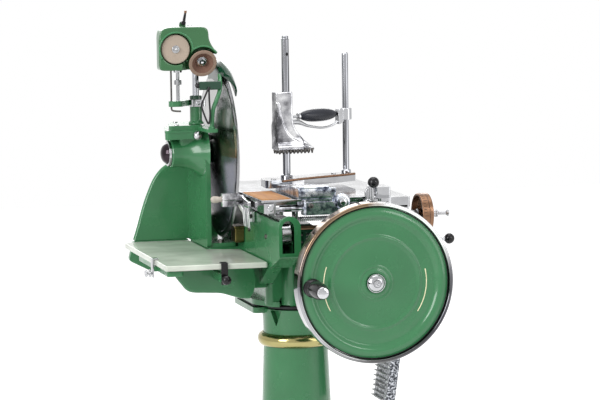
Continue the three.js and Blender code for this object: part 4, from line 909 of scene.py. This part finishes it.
def sharpener():
    post_top = STAND_TOP + 35
    block_top = post_top + 14
    head_bottom = EDGE_TOP - 3.4
    post = solid("z", POST, [*off(STAND_TOP, [(15, 0.3), (15, 3), (13.5, 5), (12, 7)]),
        *off(post_top, [(12, 0), (6, 0), (6, 10)])], 56)
    piece("sharpener_post", (green, post), width=0.7)
    bracket = soft("z", oblong(-180, -149, 104, 136), 6, post_top + SEAT, block_top, 6)
    clip_screw = screw_head("y", (-164.5, post_top + 7), 104, -1, 4, 2.4)
    piece("sharpener_bracket", (chrome, cut(bracket, rod("z", POST, 6.3, post_top - 1, post_top + 10.5, 40)),
        clip_screw), width=1.0)
    guide, hook = (-208.5, 90), (-222.7, 86)
    arm = soft("z", [(-180.3, 110), (-180.3, 131), (-204, 112), (-224, 98), (-229, 88), (-224, 78),
        (-206, 76), (-194, 92)], 7, block_top - 11, block_top, 6)
    arm = cut(arm, rod("z", guide, 3.9, block_top - 30, block_top + 30, 32),
        rod("z", hook, 2.8, block_top - 30, block_top + 30, 24))
    piece("sharpener_arm", (green, arm), width=1.4)
    collar = turned("z", POST, off(block_top, [(6.9, 0.3), (12, 0.3), (12, 6.4), (10.6, 8), (6.9, 8)]), 48)
    piece("sharpener_collar", (dark_green, collar), width=0.5)
    piece("sharpener_rod", (reflection_streak_chrome, rod("z", POST, 6.5, block_top + 0.3, head_bottom + 26, 48)), width=0.3)
    piece("hook_rod", (dark_steel, bent([(*hook, head_bottom + 3),
        *off((*hook, block_top), [(0, 0, 27), (0, 0, -3), (0, 0, -15), (2, -1, -18.5), (8, -4, -19.6),
        (17, -8, -20)])], 1.8, 18, 7)), width=0.4)
    rod_profile = [(0, block_top - 9), (3.5, block_top - 9),
        *off(head_bottom, [(3.5, -29.6), (7.5, -28.6), (7.5, -19.6), (3.5, -18.6), (3.5, -5.6), (8.5, -4.6),
        (8.5, -SEAT), (0, -SEAT)])]
    piece("guide_rod", (chrome, turned("z", guide, rod_profile, 36)), width=0.5)

    flat, front = (-218.7, EDGE_TOP + 39), 56
    cup = (-164.9, 55, EDGE_TOP + 9.7)
    tilt = turn_at(cup, 22, "X")
    front_shape = rounded([(-253, head_bottom + 3), *off(EDGE_TOP,
        [(-253, 66), (-243, 82), (-160, 82), (-153.5, 74), (-153, 53), (-136, 29), (-135, 8)]),
        (-146, head_bottom), (-244, head_bottom + 1)], 14, 6)
    plan = rounded([(-253, 50), (-135, 50), (-135, 104), *arc(POST, 31, 0, 90, 8), (-202, 150), (-230, 126),
        (-245, 98), (-253, 76)], 5, 3)
    shell = combine("INTERSECT", slab("y", front_shape, 50, 160), slab("z", plan, 1000, 1500))
    radius = 30.7
    shell = cut(shell, rod("y", flat, radius, 40, 76, 72),
        rod("y", (cup[0], cup[2] + 1), radius + 0.6, 40, 83, 72),
        block(-206, -140, 40, 70, head_bottom - 10, head_bottom + 18, 8),
        rod("z", POST, 6.9, head_bottom - 10, head_bottom + 44, 32))
    shell = cast(shell, 1.5, 5)
    ear = soft("y", off(EDGE_TOP, [(-202, 73), (-186, 73), (-188, 91), (-198, 91)]), 3, 105, 110)
    cap_screw = screw_head("z", (-176, 118), EDGE_TOP + 81, 1, 6, 3)
    ends = arc(flat, 33.4, 214, 2, 16) + arc((cup[0], cup[2] + 1), 33.6, 122, 36, 8)
    bead = bent([(x, 50.6, z) for x, z in ends], 1.7, 14, 2)
    # The shell in the darker green is painted shade; the bead in the lighter green is a painted highlight
    # along the lip.
    piece("sharpener_head", (head_green_painted_shade, shell, ear), (green, bead), (chrome, cap_screw), width=0)

    stone = turned("y", flat, off(front, [(6.5, 0.2), (27, 0), (28.5, 1.2), (28.5, 13), (9, 14), (9, 19),
        (5, 19), (5, 33), (0, 33), (0, 0.2)]), 72)
    washer = solid("y", flat, off(front, [(7.4, -1), (8, 0), (8, 1)]), 40)
    piece("flat_stone", (grit, stone), (chrome, washer, slab_hex("y", flat, front - 5, front - 0.5, 6),
        ball(3.4, flat[0], front - 5, flat[1], 10, 20)), width=0.4)
    cup_profile = [(8, 10.6), (13, 12), (17, 8), (20.5, 1.8), (22, 0.4), (26.8, 0), (28, 1.2), (24.5, 9),
        (18, 17.5), (9, 18), (9, 20), (5, 20), (5, 31), (0, 31), (0, 10.6)]
    cup_shell = moved(tilt, turned("y", (0, 0), cup_profile, 72))
    hub = moved(tilt, solid("y", (0, 0), [(9.5, 9.6), (10, 10.4), (10, 12)], 40),
        slab_hex("y", (0, 0), 4, 10, 7.5), ball(3.2, 0, 4.2, 0, 10, 20))
    # Painted shade: a thin darker sheet just inside the cup stone's hollow.
    inside = moved(tilt, turned("y", (0, 0), [(8, 10.4), (13, 11.8), (17, 7.8), (20.9, 0.7), (21.3, 1.3),
        (17.6, 8.6), (13, 12.6), (8, 11.2)], 72))
    piece("cup_stone", (grit_rim, cup_shell), (grit_painted_shade, inside), (chrome, hub), width=0.3)
    lever = EDGE_TOP + 84
    handle = soft("y", [(-196.5, lever), (-190, lever), (-186.4, lever + 26), (-190, lever + 26)], 2, 97.4,
        102.6, 6)
    tip = soft("y", off(lever, [(-190.4, 23), (-186.4, 23), (-185.6, 28.5), (-190.6, 28.5)]), 1.4, 97, 103, 6)
    piece("head_lever", (black, handle, rod("y", (-193, lever + 4.6), 4.6, 96, 104.7, 36)), (bronze, tip),
        width=0.8)


def carriage():
    under = TABLE_TOP - 6.6 - SEAT
    left = soft("z", oblong(-113, -90, TABLE_FRONT - 12, TABLE_BACK), 4, 956, under)
    runner = join(block(-86, -69, -235, -180, 938.4, 948, 2), block(-86, -69, -184, 186, 938.4, 958, 2))
    tie = block(-100, -69, -183, 186, 950, 962, 2)
    crosses = [block(-92, 124, y, y + 24, 961, under, 3) for y in (-184, 0, 160)]
    right = soft("z", [*off(TABLE_FRONT, [(112, -12), (134, -12), (137, 5), (179, 5)]), (179, TABLE_BACK),
        (112, TABLE_BACK)], 4, 956, 976)
    white = soft("z", oblong(116, 146, -175, -125), 4, 970, 994)
    feet = [block(152, 176, a, b, RAIL_TOP + SEAT, 960, 3) for a, b in ((-195, -145), (140, 186))]
    bracket = block(-46, -40, SCREW[0] - 14, SCREW[0] + 14, 929, under, 2)
    lug = block(82, 116, TABLE_FRONT - 5.6, TABLE_FRONT + 12, BAR_Z + 5.6, under, 3)
    end = solid("y", (-101.5, 966), off(TABLE_FRONT, [(5, -15), (6.5, -13.5), (6.5, -11)]), 32)
    collars = [ring("x", (TABLE_FRONT, BAR_Z), 5.2, 9, a, a + 7, 40) for a in (-90, 110)]
    screws = [screw_head("y", (x, 966), TABLE_FRONT - 12, -1, 4, 2.2) for x in (119, 128)]
    piece("carriage_frame", (chrome, left, tie, *crosses, right, white, *feet, bracket, lug, end, *collars),
        (steel, runner), (dark_steel, *screws), width=1.0)
    deck = soft("z", oblong(-114.6, 110, TABLE_FRONT, TABLE_BACK), 5, TABLE_TOP - 6.6, TABLE_TOP - 1.4)
    board = block(-113.6, -57, TABLE_FRONT + 2, -44, TABLE_TOP - 2, TABLE_TOP, 3)
    # Painted shadow: a black strip along the right edge of the wood, standing in for the fence's shadow.
    fence_shadow_strip = block(-56, -53, TABLE_FRONT + 2, -30, TABLE_TOP - 2, TABLE_TOP)
    fence = block(-113.6, -52, -40, -34, TABLE_TOP - 2, TABLE_TOP)
    piece("table_board", (chrome, deck, fence), (wood, board), (black, fence_shadow_strip), width=0.9)
    piece("cross_bar", (reflection_streak_chrome, rod("x", (TABLE_FRONT, BAR_Z), 5, -99.7, 124.7, 40)), width=0.4)

    thread = [(0, -47), (4, -47), (5, -46)]
    at = -40.0
    while at < 172:
        thread += [(5, at), (3.9, at + 1.2), (3.9, at + 2.2), (5, at + 3.4)]
        at += 4.0
    thread += [(5, 182), (8, 183), (8, 199.6), (5, 199.6), (5, 234.6), (0, 235)]
    piece("feed_screw", (steel, turned("x", SCREW, thread, 36)), width=0)
    dial = 200
    face = turned("x", SCREW, off(dial, [(5.3, 0), (10, 0), (10, 11), (34, 11), (34, 14), (5.3, 14)]), 72)
    drum = turned("x", SCREW, off(dial, [(9, 13), (33, 13), (35, 10), (35.6, 1), (36.6, 0), (38.8, 0),
        (39.8, 1), (40, 2.4), (40, 19.4), (39.6, 21), (38.2, 22), (9, 22)]), 96)
    windows = [rod("x", (SCREW[0] + 22 * math.cos(2 * math.pi * i / 5 + 0.3),
        SCREW[1] + 22 * math.sin(2 * math.pi * i / 5 + 0.3)), 7.5, dial + 5, dial + 30, 32) for i in range(5)]
    marks = []
    for i in range(40):
        mark = block(dial + 3, dial + (12 if i % 5 == 0 else 8), -0.4, 0.4, 39.5, 40.15)
        marks.append(moved(turn_at((0, *SCREW), 9 * i, "X"), mark))
    groove = ring("x", SCREW, 39.7, 40.15, dial + 13.4, dial + 14.2, 96)
    piece("feed_dial", (bronze, cut(drum, join(*windows))), (chrome, cut(face, join(*windows))),
        (black, groove, *marks), width=0.35)
    arm_x = dial + 22 + SEAT
    y, z = SCREW
    crank = soft("x", off((y, z), [(-9, 8), (9, 8), (4, -40), (-2, -56), (-16, -56), (-16, -44)]), 8, arm_x,
        arm_x + 6, 7)
    crank = cut(crank, rod("x", SCREW, 5.3, arm_x - 1, arm_x + 8, 32))
    neck = turned("x", (y - 9, z - 49), [*off(arm_x, [(0, 3), (5, 5.6), (5, 8), (3.5, 9)]), (3.5, 254),
        (0, 254)], 32)
    knob = turned("x", (y - 9, z - 49), [(0, 251.6), (4.6, 251.6), (4.6, 253), (7.4, 254.4), (9.8, 257.4),
        (10.5, 261), (9.9, 264.6), (8, 268), (5, 270.5), (2, 271.5), (0, 271.6)], 48)
    piece("feed_crank", (chrome, crank, neck), (black, knob), width=0.8)
    cap = turned("x", SCREW, [(0, 264.6), (3, 264.4), (6.4, 262.8), (7, 261.6), (6.4, 260.6), (3.6, 257),
        (3.4, 243), (6, 241.6), (8, 240), (8, 237), (7, 236), (7, arm_x + 6.3), (0, arm_x + 6.3)], 48)
    cap = cut(cap, rod("x", SCREW, 5.3, 220, 235.3, 32))
    piece("dial_screw", (steel, cap), width=0.4)

    x, z, y = 90, 971, TABLE_FRONT - 9
    lever = soft("y", [(x - 5, z + 1), (x + 12, z + 1), (x + 11, 992), (x + 8, 1002), (x + 1, 1002),
        (x - 6, 990)], 2.4, y - 3, y + 3, 6)
    ribs = [soft("y", [(x + a, z + 5), (x + a + 3, z + 5), (x + b + 2.4, 998), (x + b, 998)], 1, y - 4.2, y)
        for a, b in ((-3.4, -1), (1.6, 3), (6.6, 6.6))]
    pivot = solid("y", (x, z), [(4.4, y - 5.5), (6, y - 4), (6, y + 3)], 36)
    stem = bent([(x + 2, y, 988), (x + 5, y, 995), (x + 10, y, 1003)], 3, 18, 6)
    piece("nut_lever", (chrome, lever, *ribs, pivot, stem), (black, ball(11, x + 11.5, y, 1007, 20, 40)),
        width=0.9)


def feed_slide():
    over = TABLE_TOP + 0.4
    front = TABLE_FRONT - 14
    low_block = soft("z", oblong(-37, 34, front, TABLE_FRONT + 14), 6, 950, TABLE_TOP - 7.2, 6)
    wall = block(-35, 28, front + 4.4, TABLE_FRONT - 0.6, 952, 1000, 3)
    casting = soft("x", [(front + 0.5, 979), (front + 0.5, 1001), (-160, 1001), (-60, 994), (-42, 993),
        (-42, over), (TABLE_FRONT - 0.6, over), (TABLE_FRONT - 0.6, 979)], 6, -47, 17, 6)
    ledge = soft("x", [(front + 2, 999), (front + 2, 1003), (-186, 1003), (-186, 999)], 2, -44, 14)
    toe = block(-32, 12, -60, 20, over, over + 3.4, 3)
    boss = solid("y", (37, 974), [(9, -226), (12.4, -225), (15, -222), (15.5, -217), (15.5, -214.6),
        (13, -213), (10, -210), (10, -206)], 56)
    boss_screw = turned("y", (37, 974), [(0, -229.4), (4, -229.2), (6.4, -228), (7, -226.4), (7, -225),
        (0, -225)], 36)
    grub = turned("y", (-23, 968), off(front, [(0, -2.4), (3, -2.2), (5, -0.8), (5, 1), (0, 1)]), 32)
    nut_block = block(30, 54, SCREW[0] - 26, SCREW[0] + 14, 929, 953, 3)
    piece("feed_block", (hammered, low_block, wall, casting, ledge, toe, boss, nut_block),
        (chrome, boss_screw), (dark_steel, grub), width=1.4)
    outline = rounded([(-64, -32), (-58, -41), (-38, -36), (20, -14), (110, 28), (142, 48), (143, 66),
        (128, 78), (110, 76), (50, 58), (-30, 32), (-62, 18)], 5, 8)
    plate = slab("z", outline, over + 3.7, ROD_PLATE_TOP)
    plate_screws = [screw_head("z", at, ROD_PLATE_TOP, 1, 5, 2.6) for at in ((-44, -16), (96, 50))]
    trim = bent(off(ROD_PLATE_TOP, [(-30, -34, -3), (20, -15, -1), (110, 27, -1), (138, 44, -1)]), 2.4, 12, 4)
    piece("rod_plate", (chrome, plate), (steel, *plate_screws), (bronze, trim), width=1.6)
    tip = 1275
    rod_body = solid("z", LEFT_ROD, [*off(ROD_PLATE_TOP, [(12, SEAT), (12, 5), (10.6, 7), (7.5, 8)]),
        *off(tip, [(7.5, -2.4), (10, -1.4), (10.2, -0.4), (6.6, 0), (6.6, 4), (5.6, 4.8)])], 56)
    middle = (LEFT_ROD[0] + 1.6, 1244)
    # Painted shade: a black plate at the bottom of the hole in the rod's tip.
    hole, hole_shade = [slab("y", [(middle[0], middle[1] - 1.4 * r), (middle[0] + r, middle[1]),
        (middle[0], middle[1] + 1.4 * r), (middle[0] - r, middle[1])], a, b)
        for r, a, b in ((3, -12, -3), (3.2, -4, -2))]
    piece("rod_left", (reflection_streak_chrome, cut(rod_body, hole)), (black, hole_shade), width=0.4)
    piece("rod_right", (reflection_streak_chrome, turned("z", RIGHT_ROD, [*off(ROD_PLATE_TOP,
        [(0, SEAT), (10, SEAT), (10, 5), (8.6, 7), (6.5, 8)]), (6.5, 1237), (5.8, 1240), (4, 1241.7),
        (0, 1242)], 52)), width=0.3)


def press():
    span = Vector((RIGHT_ROD[0] - LEFT_ROD[0], RIGHT_ROD[1] - LEFT_ROD[1]))
    reach = span.length
    turn = Matrix.Translation((*LEFT_ROD, 0)) @ Matrix.Rotation(math.atan2(span[1], span[0]), 4, "Z")
    square = turn_at((*LEFT_ROD, 0), 7)
    ankle = soft("y", [(-26, 1059), (53, 1056), (52.7, 1060), (44.7, 1067.5), (34.5, 1074), (18.6, 1093),
        (11.7, 1107), (10, 1131), (10, 1171), (-25, 1171), (-25, 1112), (-27, 1106)], 3, -11, 12, 4)
    toe = slab("y", [(-26, 1059), (53, 1056), (51, 1061), (34, 1068), (20, 1073.5), (8, 1080), (-3, 1091),
        (-8, 1101), (-13, 1113), (-17, 1127), (-20, 1148), (-24, 1148), (-26, 1106)], -18, -8)
    heel = soft("x", [(-24, 1058), (-24, 1066), (-10, 1080), (12, 1080), (14, 1058)], 3, -26, 30, 4)
    body = cut(cast(join(ankle, toe, heel), 1.4, 2), rod("z", (0, 0), 7.8, 1000, 1200, 40))
    teeth = []
    for side in (-19, -4, 7):
        for i in range(10):
            u = -24 + i * 7.6
            teeth.append(slab("y", [(u, 1060), (u + 6, 1060), (u + 3.4, 1049.6), (u + 2.4, 1049.6)], side,
                side + 5))
    piece("press_claw", (claw_chrome_painted_reflection, moved(square, body)), (dark_steel, moved(square, *teeth)), width=0)
    collar = turned("z", (reach, 0), [(6.8, 1107), (11.5, 1107), (12.5, 1108.5), (12.5, 1129.5), (11.5, 1131),
        (6.8, 1131)], 48)
    lug = cut(soft("y", off((reach, 0), [(-22, 1098), (-8, 1104), (-8, 1130), (-22, 1130)]), 5, -6, 6, 6),
        rod("z", (reach, 0), 6.8, 1000, 1200, 40))
    bar = bent([(8, 0, 1110), (20, 0, 1110), (34, 0, 1108), (48, 0, 1102.4), (64, 0, 1098.6), (88, 0, 1095),
        (108, 0, 1096.4), (122, 0, 1101), (reach - 16, 0, 1108)],
        [5.4, 5.2, 4.6, 3.2, 2.6, 2.4, 2.4, 2.6, 3.4], 18, 6)
    piece("press_bar", (chrome, moved(turn, collar, lug, bar)), width=0.7)
    start, stop = 33, reach - 24
    half, count = (stop - start) / 2, 28
    barrel = [(12.9 * (1 - abs(2 * i / count - 1) ** 2.5) ** 0.5, start + half + half * (2 * i / count - 1))
        for i in range(count + 1)]
    grip = turned("x", (0, 1120.4), barrel, 64)
    bolt = solid("x", (0, 1120.4), [(3, 6), (3, start - 4), (6.4, start - 4), (6.8, start - 0.2)], 40)
    bolt_end = solid("x", (0, 1120.4), [*off(stop, [(6.8, 0.2), (6.4, 4), (3, 4)]), (3, reach - 13)], 40)
    piece("press_grip", (grip_black, moved(turn, grip)), (chrome, moved(turn, bolt, bolt_end)), width=0.3)


def spiked_plate():
    tilt = turn_at((180, -60, 696), 8, "Y")
    back = soft("x", oblong(-47, 47, -138, 0), 6, -6, 6, 6)
    edge = soft("x", oblong(-47.8, -30, -138.8, 0.8), 6, -9, 9, 6)
    spikes, slot_shades = [], []
    for row in range(14):
        z = -133 + row * 9.8
        # Painted shade: black strips on the plate's face stand in for the dark slots between the rows of
        # spikes.
        slot_shades.append(block(-6.5, -5.4, -26, 44, z - 1, z + 1))
        for column in range(9):
            y = -22 + column * 8
            spikes.append(turned("x", (y, z), [(0, -14), (0.8, -12.6), (2.3, -6), (2.6, -5), (0, -5)], 12))
    rivets = [screw_head("x", (-38.5, z), -9, -1, 3.4, 2, False) for z in (-126, -96, -66, -36, -10)]
    hanger = bent([(180, -60, 688), (180, -60, 720), (180, -60, 760), (180, -60, 799.7)], 4, 24, 4)
    eye = turned("y", (180, 696), [(4, -66), (8, -66), (8.6, -65), (8.6, -55), (8, -54), (4, -54)], 32)
    piece("spiked_plate", (spike_steel, moved(tilt, back, edge)), (steel, moved(tilt, *spikes), hanger, eye),
        (black, moved(tilt, *slot_shades)), (chrome, moved(tilt, *rivets)), width=0.8)


for make in (pedestal, base, flywheel, blade, stand, hood, receiving_plate, deflector, sharpener, carriage,
        feed_slide, press, spiked_plate):
    make()

# Floor, light and the world. Places and sizes in metres, power in watts.

FLOOR_HALF, FLOOR_LEVEL = 9.0, -0.002
WORLD_LIGHT, WORLD_SEEN, FLOOR_SEEN = 0.55, 1.0, 0.74
LAMPS_AIM = (AXIS_X, AXIS_Y, 0.95)
LAMPS = {
    "key_left": ((-3.0, -2.0, 2.2), (1.6, 2.2), 92),
    "fill_right": ((2.8, -2.4, 1.6), (1.4, 2.2), 20),
    "front_right": ((2.0, -3.1, 2.7), (0.9, 1.3), 24),
    "top": ((0.0, 0.2, 3.4), (2.2, 2.2), 38),
    "rim_back": ((0.6, 3.2, 2.2), (2.2, 1.4), 26),
}


def area(name, spot_at, size, power):
    lamp = bpy.data.lights.new(name, "AREA")
    lamp.shape = "RECTANGLE"
    lamp.size, lamp.size_y = size
    lamp.energy = power
    obj = placed(name, lamp)
    obj.location = spot_at
    obj.rotation_euler = (Vector(LAMPS_AIM) - Vector(spot_at)).to_track_quat("-Z", "Y").to_euler()


def seen_directly(tree, other, seen):
    """The value seen for rays from the camera, off a mirror or through glass, else the other value."""
    paths = tree.nodes.new("ShaderNodeLightPath")
    value = paths.outputs["Is Camera Ray"]
    for kind in ("Is Glossy Ray", "Is Transmission Ray"):
        value = maths(tree, "MAXIMUM", value, paths.outputs[kind])
    return add(tree, "MapRange", "Result", To_Min=other, To_Max=seen, Value=value)


def stage():
    world = bpy.data.worlds.new("studio")
    bpy.context.scene.world = world
    world.use_nodes = True
    tree = world.node_tree
    fill(tree, tree.nodes["Background"], Color=(1, 1, 1, 1),
        Strength=seen_directly(tree, WORLD_LIGHT, WORLD_SEEN))

    mesh = bpy.data.meshes.new("floor")
    corners = oblong(-FLOOR_HALF, FLOOR_HALF, -FLOOR_HALF, FLOOR_HALF)
    mesh.from_pydata([(x, y, FLOOR_LEVEL) for x, y in corners], [], [(0, 1, 2, 3)])
    floor = placed("floor", mesh)
    material, tree, shader = new_material("pale_floor")
    tone = ramp(tree, noise(tree, 1.5), [(0.3, (0.62, 0.62, 0.62)), (0.7, (0.66, 0.66, 0.66))])
    fill(tree, shader, Base_Color=tone, Roughness=0.7, Emission_Color=(1, 1, 1, 1),
        Emission_Strength=seen_directly(tree, 0.0, FLOOR_SEEN))
    mesh.materials.append(material)
    for name, values in LAMPS.items():
        area(name, *values)


stage()
bpy.context.scene.view_settings.view_transform = "Standard"
